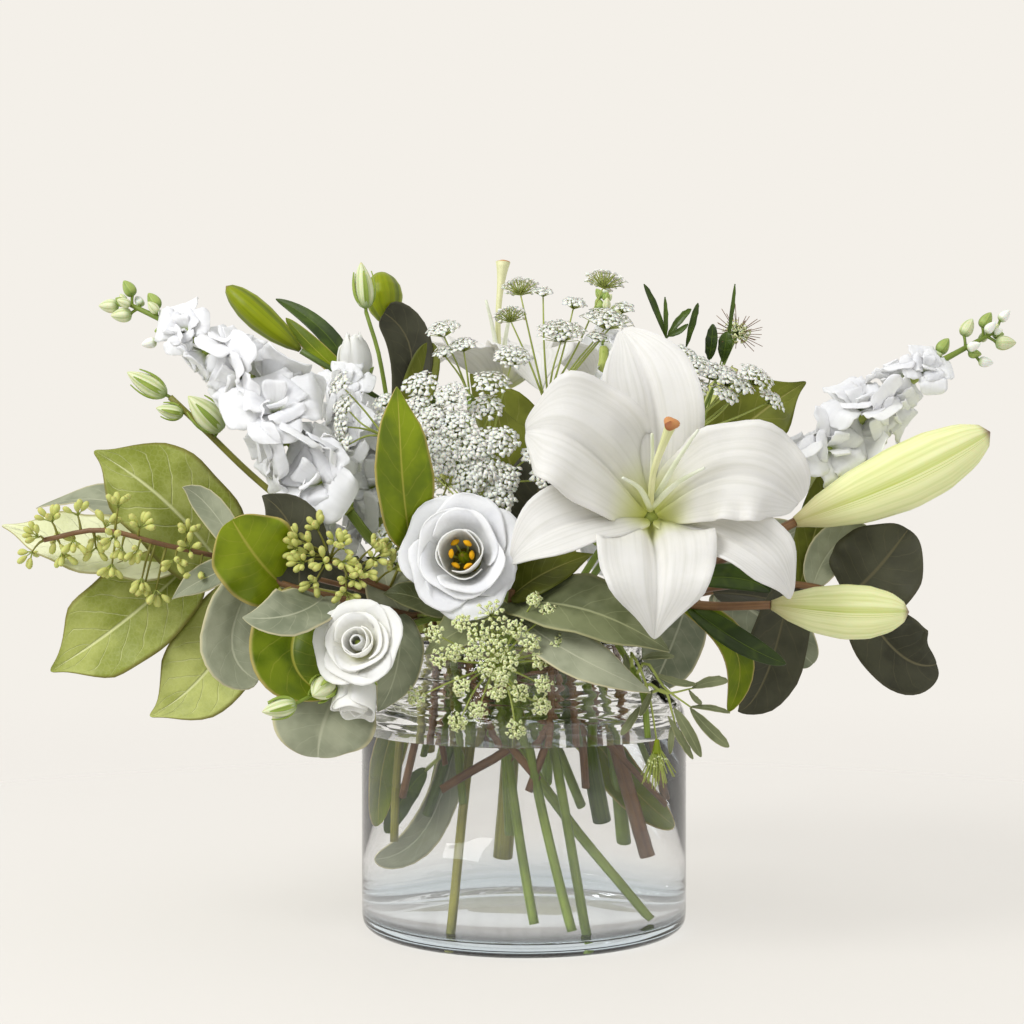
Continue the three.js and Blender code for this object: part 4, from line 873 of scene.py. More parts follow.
def spun(name, section, finish, node, turns=144):
    """A section spun about the vase's axis into a closed solid."""
    deselect()
    mesh = bpy.data.meshes.new(name)
    points = [(radius * MM, 0, height * MM) for radius, height in section]
    mesh.from_pydata(points, [(i, i + 1) for i in range(len(points) - 1)], [])
    piece = bpy.data.objects.new(name, mesh)
    bpy.context.collection.objects.link(piece)
    bpy.context.view_layer.objects.active = piece
    piece.select_set(True)
    bpy.ops.object.mode_set(mode="EDIT")
    bpy.ops.mesh.select_all(action="SELECT")
    bpy.ops.mesh.spin(steps=turns, angle=2 * math.pi, center=(0, 0, 0), axis=(0, 0, 1))
    bpy.ops.mesh.select_all(action="SELECT")
    bpy.ops.mesh.remove_doubles(threshold=1e-6)
    bpy.ops.mesh.normals_make_consistent(inside=False)
    bpy.ops.object.mode_set(mode="OBJECT")
    bpy.ops.object.shade_smooth()
    mesh.materials.append(FINISHES[finish])
    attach(piece, "root")
    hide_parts(node)
    print(f"{name}: {len(mesh.polygons)} faces")


spun("glass_vase", cut_corners(VASE_SECTION, 2), "clear glass", "vase")
spun("vase_water", WATER_SECTION, "clear water", "water")

# %% [markdown]
# ## Stems
#
# A hand-tied bunch is twisted where it is held: each stem crosses at the neck and spreads again
# below, all leaning the same way round. So each stem has a slot in the neck, given by its angle
# and radius there, and the rest of its way down follows from the twist.

# %% The way of a stem
NECK_HEIGHT = 124.0  # mm above the table
TWIST = 0.42  # radians of turn in each 100 mm below the neck
SPREAD = 0.26  # how much wider a stem's ring grows in each 100 mm
HEIGHTS = (144, 120, 88, 58, 30)  # mm above the table where a stem's line is fixed
LEAST_STEP = 12  # mm between the foot and the place over it
LONG_WAY = 12  # mm from a stem, from where a leaf gets a stalk of its own
lines = {}  # the fine lines of each piece's stem and side shoots


def in_neck(angle, radius, height, lean=0.0):
    """Where the stem of this slot is at a height in mm; lean turns its foot further."""
    below = (NECK_HEIGHT - height) / 100
    turn = math.radians(angle) + TWIST * max(below, 0) + lean * max(below - 0.2, 0)
    reach = radius * (1 + SPREAD * abs(below))
    return np.array([math.cos(turn) * reach, math.sin(turn) * reach, height]) * MM


def grow_stem(name, bunch, angle, radius, foot, thick, over, finish="green stem", lean=0.0):
    """A stem from the places under its flower, through its slot in the neck to its cut foot."""
    places = [at(place) for place in over]
    places += [in_neck(angle, radius, z, lean) for z in HEIGHTS if z > foot + LEAST_STEP]
    places.append(in_neck(angle, radius, foot, lean))
    line = stalk(bunch, finish, places, thick, LONGEST, 0.5, tapering(0.92, 1.04))
    lines.setdefault(name, []).append(line)


def nearest(name, place):
    """The nearest place on a piece's stems and shoots."""
    found = []
    for line in lines[name]:
        start, run = line[:-1], np.diff(line, axis=0)
        share = np.clip(((place - start) * run).sum(1) / (run**2).sum(1), 0, 1)
        on_line = start + run * share[:, None]
        found.append(on_line[np.argmin(np.linalg.norm(on_line - place, axis=1))])
    return min(found, key=lambda point: np.linalg.norm(point - place))


def grow_shoot(name, bunch, places, thick, finish="green stem", end=0.85):
    """A side shoot from a piece's stem through the given places."""
    places = [at(place) for place in places]
    line = stalk(bunch, finish, [nearest(name, places[0]), *places], thick, SLIM, 0.5,
                 tapering(1.0, end))
    lines[name].append(line)


def leafy(name, bunch, finish, base, mid, tip, width, form=None, face=AHEAD, **shape):
    """A leaf on the piece's stem, with a short stalk where it stands off."""
    base, mid, tip = at(base), at(mid), at(tip)
    foot = nearest(name, base)
    if np.linalg.norm(foot - base) > LONG_WAY * MM:
        into = arch(base, mid, tip, np.array([0.06]))[0][0]
        stalk(bunch, "pale stem", [foot, base, into], 0.7, TINY, swell=tapering(1.2, 0.8))
        foot = base
    blade(bunch, finish, foot, mid, tip, width, face, **(form or {}), **shape)


print("slots go down to a foot in the water, at heights", HEIGHTS)

# %% [markdown]
# Lilies stand on thick dark stems, lisianthus on thin ones with side buds, and each piece of
# foliage carries its own stem. The stems that hold up a single flower are pieces by themselves.

# %% Stems that carry flowers
STEM_PLAN = dict(  # angle and radius of the slot, foot, thickness, places over it, finish
    lily_stem_front=[-60, 34, 48, 3.6, [[651, 530, -57.4], [656, 552, -42], [664, 590, -34]],
                     "dark stem"],
    lily_stem_back=[90, 14, 24, 3.2, [[500, 403, 50], [500, 425, 50], [505, 480, 40]],
                    "olive stem"],
    lisianthus_stem_front=[-112, 34, 12, 1.9,
                           [[459, 558, -77], [463, 562, -55], [470, 590, -46]]],
    lisianthus_stem_small=[-134, 45, 60, 1.7,
                           [[358, 650, -88], [374, 648, -76], [410, 625, -60]]],
    lisianthus_stem_top=[150, 19, 55, 1.9, [[357, 396, 7.5], [368, 405, 6], [392, 470, 4]]],
    lisianthus_stem_left=[165, 31, 62, 1.6, [[170, 397, -20], [205, 430, -18], [255, 478, -14],
                                             [340, 545, -14]], "olive stem"],
    lisianthus_stem_back=[58, 35, 35, 1.9, [[614, 548, 100], [611, 550, 78], [590, 580, 60]]],
)
SHOOTS = dict(  # places, radius in mm, finish
    lily_stem_front=[
        [[[672, 600, -46], [712, 606, -56], [770.5, 605, -61.8]], 2.3, "brown stem"],
        [[[668, 588, -40], [720, 560, -34], [795, 522, -30]], 2.5, "brown stem"],
    ],
    lily_stem_back=[
        [[[480, 460, 38], [420, 380, 16], [388.2, 326, 10]], 1.9, "dark stem"],
        [[[470, 470, 36], [380, 400, 18], [300.8, 350.8, 10]], 1.7, "dark stem"],
    ],
    lisianthus_stem_top=[[[[388, 440, 3], [380, 360, -11], [366, 312, -10]], 1.1]],
    lisianthus_stem_small=[[[[380, 662, -79], [352, 682, -85], [322, 690, -94]], 1.2]],
)
SMALL_BUDS = dict(  # base, tip, width in mm
    lisianthus_stem_left=[
        [[166, 395, -20], [127, 372, -20], 9],
        [[183, 414, -20], [156, 408, -22], 7],
        [[222, 430, -20], [188, 396, -24], 12],
    ],
    lisianthus_stem_top=[[[366, 308, -10], [361, 262, -10], 9]],
    lisianthus_stem_small=[
        [[330, 682, -96], [313, 696, -106], 10],
        [[296, 704, -106], [262, 712, -108], 8],
    ],
)
STEM_LEAVES = dict(  # finish, base, middle, tip, width in mm, form
    lily_stem_front=[
        ["dark leaf", [690, 606, -48], [737, 640, -64], [786, 664, -68], 11],
        ["bright leaf", [686, 600, -42], [735, 648, -46], [728, 712, -42], 14],
        ["dark leaf", [690, 596, -38], [738, 578, -42], [770, 592, -46], 12],
    ],
    lily_stem_back=[
        ["dark leaf", [350, 396, 14], [326, 334, 18], [276, 299, 26], 9],
        ["bright leaf", [342, 400, 12], [318, 352, 14], [286, 318, 20], 9],
    ],
    lisianthus_stem_top=[
        ["slate leaf", [398, 450, 4], [412, 364, 3], [384, 313, 2], 21,
         dict(peak=0.66, point=0.6)],
        ["olive leaf", [390, 470, 4], [420, 385, 2], [430, 342, 2], 16],
    ],
)


def egg(low, high):
    """A radius share that swells from a narrow foot to a blunt tip, as a bud does."""
    def share(t):
        body = np.sin(np.pi * np.clip(t, 0, 1) ** 0.8)
        return low * (1 - t) ** 3 + (1 - low * 0.2) * body ** high
    return share


BRACTS = 5  # round each side bud


def small_bud(name, bunch, base, tip, width):
    """A side bud on its own thin stalk, in a green calyx of five thin bracts."""
    start, end = at(base), at(tip)
    run = end - start
    stalk(bunch, "green stem", [nearest(name, start), start + run * 0.06], 0.8, SHORT)
    stalk(bunch, "pale bud", [start, start + run * 0.5, end], width / 2, ROUNDEST, 0.4,
          egg(0.3, 0.75), ribs=0.06, lobes=BRACTS)
    side = unit(np.cross(run, [0.3, 0.2, 1.0]))
    other = unit(np.cross(run, side))
    for step in range(BRACTS):
        turn = step * 2 * math.pi / BRACTS + 0.4
        out = spoke(side, other, turn)
        reach = out * width * 0.5 * MM
        blade(bunch, "sepal leaf", start + reach * 0.2, start + run * 0.3 + reach * 1.08,
              start + run * 0.78 + reach * 0.96, width * 0.24, out, taper=1.2, detail=SMALL)


for name, plan in STEM_PLAN.items():
    bunch = Bunch()
    grow_stem(name, bunch, *plan)
    for shoot in SHOOTS.get(name, []):
        grow_shoot(name, bunch, *shoot)
    for bud in SMALL_BUDS.get(name, []):
        small_bud(name, bunch, *bud)
    for leaf in STEM_LEAVES.get(name, []):
        leafy(name, bunch, *leaf, groove=0.2, cup=0.25, tone=0.3)
    make_piece(f"{name}_grown", bunch, "stem", name)

# %% [markdown]
# ## Lilies
#
# An oriental lily has six petals: wide ones with a grooved midline and a waved edge, and narrow
# ones between them. Each is given by its root, a place halfway and its tip. The anthers have
# been pulled, as florists do, so only the pale filaments and the stigma are left.

# %% Lily flowers
WIDE = dict(peak=0.5, taper=1.0, point=0.95, drip=0.5, cup=0.2, wave=0.1, groove=0.3)
NARROW = dict(peak=0.5, taper=1.05, point=1.1, drip=0.4, cup=0.26, wave=0.06, groove=0.16)
LOW = dict(peak=0.36, taper=0.5, point=0.95, drip=0.55, cup=0.1, wave=0.12, groove=0.34)
BLUNT = dict(peak=0.56, taper=1.0, point=0.8, drip=0.3, cup=0.2, wave=0.12, groove=0.3)
LILIES = dict(  # foot and throat; then each petal's root, middle, tip, width in mm, face, form
    lily_front=[[651, 530, -58], [650, 514, -69], [
        [[652, 500, -68], [654, 405, -87], [618, 322, -72], 41, [0, -1, 0.1], WIDE],
        [[645, 505, -70], [583, 440, -99], [517, 430, -86], 53, [0.3, -1, 0.2], WIDE],
        [[642, 515, -70], [572, 520, -100], [503, 560, -96], 33, [0.1, -0.8, 0.6], NARROW],
        [[650, 520, -72], [657, 562, -116], [654, 645, -116], 50, [0, -0.75, 0.65], LOW],
        [[660, 518, -71], [742, 540, -102], [801, 598, -98], 31, [-0.1, -0.75, 0.65], NARROW],
        [[660, 508, -70], [735, 472, -101], [805, 506, -94], 43, [-0.2, -1, 0.25], BLUNT],
    ]],
    lily_back=[[500, 402, 50], [500, 388, 50], [
        [[496, 386, 44], [455, 352, 25], [432, 352, 8], 38, [0.4, 0.3, 1], WIDE],
        [[504, 386, 44], [530, 350, 24], [537, 388, 6], 40, [-0.1, 0.3, 1], WIDE],
        [[508, 386, 50], [560, 360, 50], [590, 375, 60], 34, [-0.4, 0, 1], NARROW],
        [[504, 386, 56], [530, 345, 85], [545, 365, 115], 38, [-0.2, -0.4, 1], WIDE],
        [[497, 386, 56], [475, 345, 90], [462, 360, 120], 36, [0.2, -0.4, 1], WIDE],
        [[493, 386, 50], [445, 355, 60], [412, 370, 75], 36, [0.4, -0.1, 1], NARROW],
    ]],
)


def lily_bloom(name, foot, throat, petals):
    """Six petals round a green heart."""
    bunch = Bunch()
    foot, heart = at(foot), at(throat)
    out = heart - foot
    stalk(bunch, "pale stem", [foot, foot + out * 0.5, heart - out * 0.1], 4.2, SLIM, 0.6,
          tapering(0.8, 0.9), ribs=0.05)
    for index, (root, mid, tip, width, face, form) in enumerate(petals):
        start = heart * 0.4 + at(root) * 0.6 - out * 0.2
        blade(bunch, "lily petal", start, at(mid), at(tip), width, face, **form,
              waves=2.3 + 0.3 * index, recurve=0.07, thick=0.7, detail=FINE,
              tone=0.2 + 0.5 * (index % 2), phase=1.9 * index + 0.6)
    make_piece(f"{name}_petals", bunch, "white_petal", f"{name}_bloom")


for name, plan in LILIES.items():
    lily_bloom(name, *plan)

# %% Pistils and filaments
PISTILS = dict(  # base, middle, tip, how far it flares, its cap in mm, ends of the filaments
    lily_front_pistil=[[650, 510, -73], [654, 470, -104], [671, 424, -120], 0.75, 3.6,
                       [[652, 434, -114], [698, 430, -112], [623, 478, -118], [704, 468, -116]]],
    lily_back_pistil=[[500, 380, 50], [498, 320, 49], [503, 262, 50], 1.5, 1.8,
                      [[486, 300, 42], [512, 306, 58]]],
)


def lily_pistil(name, base, mid, tip, flare, cap, filaments):
    """A style with a three-lobed stigma, among bare filaments."""
    bunch = Bunch()
    foot, tip = at(base), at(tip)
    out = unit(tip - foot)
    stalk(bunch, "style", [foot, foot + out * 3 * MM, foot + out * 8 * MM], 2.0, SLIM, 0.9,
          bulging(0.7, 0.3))
    stalk(bunch, "style", [foot + out * 2 * MM, at(mid), tip], 1.5, ROUNDEST, 0.5,
          lambda t: 0.85 + 0.1 * t + flare * t**7, ribs=0.04, lobes=3)
    stalk(bunch, "stigma", [tip - out * cap * 0.4 * MM, tip, tip + out * cap * 0.6 * MM],
          3.3, ROUNDEST, 0.5, lambda t: 0.6 + 0.4 * np.sin(np.pi * t) ** 0.7 - 0.45 * t**5,
          ribs=0.14, lobes=3)
    for filament in filaments:
        far = at(filament)
        bow = (foot + far) / 2 + out * 5 * MM
        stalk(bunch, "filament", [foot + out * 1.5 * MM, bow, far], 1.25, SLIM, 0.5,
              tapering(1.3, 0.5))
    make_piece(f"{name}_grown", bunch, "pistil", name)


for name, plan in PISTILS.items():
    lily_pistil(name, *plan)

# %% Lily buds
BUDS = dict(  # base, tip, width in mm, finish
    lily_bud_low=[[771, 605, -62], [909, 612, -60], 24, "lily bud"],
    lily_bud_high=[[795, 522, -30], [990, 432, -15], 30, "lily bud"],
    lily_bud_back=[[388, 325, 10], [380, 272, 15], 18, "deep bud"],
    lily_bud_left=[[300, 350, 10], [226, 286, 15], 14, "deep bud"],
)


def bud_share(t):
    """The outline of a closed lily bud: a narrow foot, widest past the middle, a blunt nose."""
    return np.interp(t, [0, 0.03, 0.12, 0.3, 0.52, 0.7, 0.86, 0.95, 0.985, 1],
                     [0.17, 0.24, 0.5, 0.82, 1.0, 0.96, 0.72, 0.42, 0.24, 0.02])


for name, (base, tip, width, finish) in BUDS.items():
    bunch = Bunch()
    base, tip = at(base), at(tip)
    sag = np.array([0, 0, -0.02]) * np.linalg.norm(tip - base)
    stalk(bunch, finish, [base, (base + tip) / 2 + sag, tip], width / 2, ROUNDEST, 0.5,
          bud_share, ribs=0.07, lobes=3)
    make_piece(f"{name}_grown", bunch, "bud_green", name)

# %% [markdown]
# ## Lisianthus
#
# A lisianthus is a cup of overlapping petals with ruffled rims. Each petal wraps part of the way
# round the flower's axis: it starts narrow at the root, spreads, rolls out at the rim, and lies
# over its neighbour on one side and under it on the other.

# %% Cupped petals
def axes_round(axis, spin=0.0):
    """Two directions across an axis, turned about it by spin."""
    axis = unit(axis)
    guide = np.array([0, 0, 1.0]) if abs(axis[2]) < 0.9 else np.array([1.0, 0, 0])
    side = unit(np.cross(guide, axis))
    other = np.cross(axis, side)
    return spoke(side, other, spin), spoke(other, -side, spin)


def cup_petal(bunch, finish, root, axis, spin, wide, radius, depth, shut, roll, ruffle, phase,
              tone, detail):
    """A petal wrapped round an axis; wide is half its angle, shut draws its rim in again."""
    blank = SHEETS[detail]
    rows, cols = blank["size"]
    t = np.linspace(0, 1, rows + 1)[:, None]
    v = np.linspace(-1, 1, cols + 1)[None, :]
    up = t * (1 - 0.2 * np.abs(v) ** 3) * (1 - 0.04 * np.cos(5 * v + phase))
    angle = wide * v * (0.3 + 0.7 * np.sin(np.pi / 2 * np.clip(t * 1.5, 0, 1)))
    reach = up**0.48 * (1 - shut * np.clip((up - 0.35) / 0.65, 0, 1) ** 1.5)
    reach = reach + roll * np.clip((up - 0.7) / 0.3, 0, 1) ** 2 + 0.07 * v * t
    reach = reach + ruffle * (np.sin(4.2 * v + phase) + 0.5 * np.sin(9.5 * v + 2 * phase)) * t**3
    lift = up - 0.6 * roll * np.clip((up - 0.78) / 0.22, 0, 1) ** 2
    lift = lift + ruffle * 0.8 * np.cos(6.1 * v + 1.3 * phase) * t**4
    side, other = axes_round(axis, spin)
    out = side * np.cos(angle)[..., None] + other * np.sin(angle)[..., None]
    surface = (root + out * (radius * MM * np.maximum(reach, 0.03))[..., None]
               + unit(axis) * (depth * MM * lift)[..., None])
    bunch.add(blank, skin(blank, surface, 0.5 * MM), sheet_uv(blank, t[:, 0]), finish, tone)


# %% The heart of a lisianthus
STAMENS = 6


def lay_heart(bunch, axis, start):
    """A green-brown pistil in a ring of orange stamens."""
    stalk(bunch, "deep bud", [start, start + axis * 6 * MM, start + axis * 10 * MM], 2.4,
          ROUNDEST, 0.3, lambda t: 0.75 + 0.35 * np.sin(np.pi * t) - 0.5 * t**4)
    stalk(bunch, "deep bud", [start - axis * 1.5 * MM, start, start + axis * 1.5 * MM], 8,
          ROUNDEST, 0.3, tapering(1, 0.9))
    side, other = axes_round(axis)
    for step in range(STAMENS):
        turn = step * 2 * math.pi / STAMENS
        out = spoke(side, other, turn)
        far = start + axis * (10 + 3 * (step % 2)) * MM + out * (4.2 + step % 3) * MM
        stalk(bunch, "pale stem", [start + axis * 2 * MM + out * 1.6 * MM,
                                   start + axis * 7 * MM + out * 4 * MM, far], 0.45, SHORT, 0.8)
        tangent = np.cross(axis, out)
        stalk(bunch, "stamen", [far - tangent * 1.9 * MM, far + axis * 0.6 * MM,
                                far + tangent * 1.9 * MM], 1.25, SHORT, 0.5, bulging(0.4, 0.6))


# %% Lisianthus flowers
SEPALS = 5
# Each ring of petals: how many, reach, height, how shut, how far the rim rolls.
OPEN = [[5, 0.88, 0.86, 0, 0.26], [4, 0.72, 0.96, 0.04, 0.16], [3, 0.5, 0.98, 0.24, 0.06]]
SPIRAL = [[4, 0.9, 0.84, 0, 0.24], [3, 0.7, 0.94, 0.08, 0.16], [2, 0.44, 1.0, 0.3, 0.06],
          [2, 0.24, 0.92, 0.5, 0]]
CUP = [[4, 1, 1, 0.24, 0.05], [3, 0.7, 0.96, 0.4, 0]]
CLOSING = [[4, 1, 1, 0.72, 0], [3, 0.72, 0.97, 0.85, 0]]
ROSES = dict(  # centre, axis, radius and depth in mm, finish, rings
    lisianthus_front=[[460, 552, -96], [-0.1, -0.95, 0.2], 24, 24 * 0.85, "petal", OPEN],
    lisianthus_small=[[356, 641, -106], [-0.2, -0.9, 0.35], 17.5, 11, "cream", SPIRAL],
    lisianthus_lower=[[353, 714, -99], [-0.12, -0.42, -0.9], 11.5, 23, "cream", CUP],
    lisianthus_half_open=[[353, 336, 5], [-0.08, -0.1, 1], 11.5, 27, "cream", CLOSING],
    lisianthus_back=[[620, 530, 118], [0.15, 0.9, 0.35], 22, 22 * 0.85, "petal", OPEN],
)


def ring_petals(bunch, root, axis, order, radius, depth, finish, petals, shut, roll):
    """One ring of petals, no two of them quite alike."""
    for step in range(petals):
        spin = order * 0.9 + step * 2 * math.pi / petals + 0.25 * math.sin(3.1 * step + order)
        phase = 2.3 * step + order
        cup_petal(bunch, finish, root + axis * 0.6 * order * MM, axis, spin,
                  math.pi / petals * 1.9, radius * (1 - 0.07 * math.sin(2.7 * step + order)),
                  depth * (1 + 0.05 * math.sin(phase)), shut, roll, 0.045, phase,
                  0.2 + 0.15 * (step % 3), FINE)


def rose_bloom(name, centre, axis, radius, depth, finish, rings):
    """Rings of cupped petals, each ring smaller and a little more shut."""
    bunch = Bunch()
    axis = unit(axis)
    root = at(centre) - axis * depth * MM
    stalk(bunch, "green stem", [root - axis * 4 * MM, root, root + axis * 2.5 * MM],
          radius * 0.15, SLIM, 0.5, lambda t: 0.55 + 0.5 * t)
    for order, (petals, reach, height, shut, roll) in enumerate(rings):
        # The innermost ring of an open or spiral bloom is painted dark olive: the green heart of
        # the flower, darkened further as painted shade deep in the cup.
        green = order == len(rings) - 1 and rings in (OPEN, SPIRAL)
        paint = "lisianthus heart" if green else f"lisianthus {finish}"
        ring_petals(bunch, root, axis, order, radius * reach, depth * height, paint, petals,
                    shut, roll)
    if rings is SPIRAL:
        stalk(bunch, "bright stem", [root, root + axis * depth * 0.4 * MM,
                                     root + axis * depth * 0.78 * MM], 1.9, SLIM, 0.4,
              tapering(1.1, 0.7))
    if name == "lisianthus_back":
        lay_heart(bunch, axis, at(centre) - axis * 15.5 * MM)
    for step in range(SEPALS):
        spin = step * 2 * math.pi / SEPALS
        cup_petal(bunch, "sepal leaf", root - axis * 0.8 * MM, axis, spin, 0.28, radius * 0.72,
                  depth * 0.5, 0, 0.1, 0.02, spin, 0.4, COARSE)
    make_piece(f"{name}_petals", bunch, "white_petal", name)


for name, plan in ROSES.items():
    rose_bloom(name, *plan)
heart = Bunch()
centre, axis = ROSES["lisianthus_front"][:2]
axis = unit(axis)
lay_heart(heart, axis, at(centre) - axis * 17 * MM)
make_piece("lisianthus_front_heart", heart, "pistil", "lisianthus_front_centre")

# %% [markdown]
# ## Stock
#
# Stock is a spike of doubled florets, each with four soft outer petals and a crumpled middle.
# They turn by the same step one after the other along the stem and lean to the light. The spike
# ends in green buds.

# %% Stock spikes
SPIKES = dict(  # the stem is given by its slot's angle and radius, its foot and the places over it
    stock_left=dict(
        axis=[[184, 330, -20], [248, 378, -34], [294, 446, -48], [350, 512, -52]],
        tip=[120, 300, -14], count=10, size=20, look=[-0.25, -1, 0.35],
        buds=[[130, 290, -15], [125, 315, -16], [150, 343, -20], [155, 303, -16],
              [112, 306, -14]],
        stem=[-152, 28, 66, [[372, 540, -50], [420, 575, -40]]]),
    stock_inner=dict(
        axis=[[348, 385, 0], [356, 440, -12], [372, 500, -22], [392, 540, -26]],
        tip=[345, 362, 2], count=8, size=19, look=[-0.1, -1, 0.5], buds=[],
        stem=[-125, 16, 40, [[404, 560, -26], [430, 590, -20]]]),
    stock_right=dict(
        axis=[[925, 370, -8], [890, 395, -8], [845, 430, -8], [800, 470, -10]],
        tip=[998, 330, -5], count=7, size=18, look=[0.15, -1, 0.4],
        buds=[[985, 322, -5], [1002, 343, -6], [985, 362, -6], [942, 348, -5], [966, 330, -5],
              [1004, 316, -4]],
        stem=[0, 30, 30, [[780, 486, -8], [720, 540, 0]]]),
    stock_back=dict(
        axis=[[604, 348, 158], [600, 392, 146], [592, 440, 128], [582, 486, 106]],
        tip=[607, 296, 168], count=8, size=18.5, look=[0.1, 1, 0.4],
        buds=[[600, 306, 168], [615, 312, 166], [605, 290, 170]],
        stem=[80, 42, 45, [[578, 504, 98], [566, 545, 70]]]),
)
STEM_THICK = 2.4  # mm
AXIS_ROWS = 60  # points along a spike's axis
TURN = 2.4  # radians from one floret or bud to the next
FLORET_RINGS = [  # reach, rise, width, how many, how far each turns its face outward
    [1.2, -0.06, 1.24, 4, 0.1], [0.74, 0.12, 0.94, 3, 0.25], [0.36, 0.28, 0.6, 2, 0.5]]


def stock_floret(bunch, heart, out, size, spin, dice):
    """A doubled floret of `size` mm that opens from its heart along `out`."""
    side, other = axes_round(out, spin)
    root = heart - out * size * 0.42 * MM
    stalk(bunch, "bright stem", [root - out * size * 0.4 * MM, root + out * size * 0.12 * MM],
          2.1, TINY, 0.7)
    for ring, (reach, rise, wide, count, turned) in enumerate(FLORET_RINGS):
        for step in range(count):
            turn = step * 2 * math.pi / count + 0.75 * ring + dice.uniform(-0.2, 0.2)
            away = spoke(side, other, turn)
            far = reach * dice.uniform(0.85, 1.08)
            high = rise + dice.uniform(-0.12, 0.12)
            mid = root + (out * (0.4 + 0.07 * ring) + away * far * 0.5) * size * MM
            tip = root + (out * (0.38 + high) + away * far) * size * MM
            blade(bunch, "stock petal", root + away * 0.5 * MM, mid, tip,
                  size * wide * dice.uniform(0.85, 1.12), out - away * turned, peak=0.64,
                  taper=1.3, point=0.62, cup=dice.uniform(-0.1, 0.12), wave=0.09, waves=3.2,
                  twist=dice.uniform(-0.22, 0.22), recurve=dice.uniform(0, 0.18), thick=0.4,
                  groove=0.1, tone=dice.uniform(0, 0.8), phase=dice.uniform(0, 6))


def spike_flowers(name, axis, look, count, size):
    """Florets crowded round the stem, each facing its own way."""
    dice = np.random.default_rng(len(name))
    bunch = Bunch()
    line = smooth_line([at(place) for place in axis], AXIS_ROWS)
    stalk(bunch, "pale stem", line[::6], 2.6, LONGEST, 0.7)
    along = unit(np.gradient(line, axis=0))
    front = unit(look)
    for index in range(count):
        t = 0.03 + 0.94 * index / (count - 1)
        row = round(t * AXIS_ROWS)
        turn = TURN * index
        side = unit(np.cross(along[row], front))
        out = unit(side * math.sin(turn) * 0.95 + front * (0.55 + 0.75 * math.cos(turn))
                   - along[row] * 0.2)
        wide = size * (0.62 + 0.36 * min(1, t * 2.4))
        stock_floret(bunch, line[row] + out * wide * 0.62 * MM, out, wide, 1.3 * index, dice)
    make_piece(f"{name}_petals", bunch, "white_petal", f"{name}_flowers")


def stock_bud(bunch, foot, place, up, long, index):
    """A closed bud on its stalk; every third one shows white."""
    out = unit(unit(place - foot) + up * 0.9)
    stalk(bunch, "green stem", [foot, (foot + place) / 2 - out * 0.6 * MM, place - out * 2.4 * MM],
          0.7, TINY, 0.6)
    finish = ("green bud", "pale bud", "white bud")[index % 3]
    stalk(bunch, finish, [place - out * 3 * MM, place, place + out * (long - 3) * MM],
          long * 0.33, ROUNDEST, 0.3 + 0.1 * (index % 4), egg(0.35, 0.7), ribs=0.07, lobes=4)


def spike_tip(name, start, end, buds):
    """Closed buds, two by two, round the spike's green end."""
    bunch = Bunch()
    start, end = at(start), at(end)
    run = end - start
    up = unit(run)
    stalk(bunch, "green stem", [start + run * 0.06, start + run * 0.5, end], 1.5, SLIM, 0.5,
          tapering(1.1, 0.6))
    side, other = axes_round(up)
    for index, bud in enumerate(buds):
        place = at(bud)
        share = np.clip(np.dot(place - start, run) / np.dot(run, run) - 0.12, 0.08, 0.95)
        foot = start + run * share
        stock_bud(bunch, foot, place, up, 8.5 + 1.5 * math.sin(2.2 * index), index)
        near = foot + spoke(side, other, TURN * index) * 4.5 * MM + up * 2.5 * MM
        stock_bud(bunch, foot, near, up, 6.5, index + 1)
    for step in range(4):
        away = spoke(side, other, 1.7 * step)
        stock_bud(bunch, end - run * 0.05, end + away * 1.9 * MM, up, 4.6, step)
    make_piece(f"{name}_buds", bunch, "bud_green", f"{name}_tip")


for name, plan in SPIKES.items():
    axis = plan["axis"]
    spike_flowers(name, axis, plan["look"], plan["count"], plan["size"])
    if plan["buds"]:
        spike_tip(name, axis[0], plan["tip"], plan["buds"])
    bunch = Bunch()
    angle, radius, foot, over = plan["stem"]
    grow_stem(f"{name}_stem", bunch, angle, radius, foot, STEM_THICK, [axis[-1], *over])
    make_piece(f"{name}_stem_grown", bunch, "stem", f"{name}_stem")

# %% [markdown]
# ## Foliage and lace flower
#
# Each of these is one piece: a stem from the vase, its leaves, and for the lace flower its heads.
# The plan has the stem first.

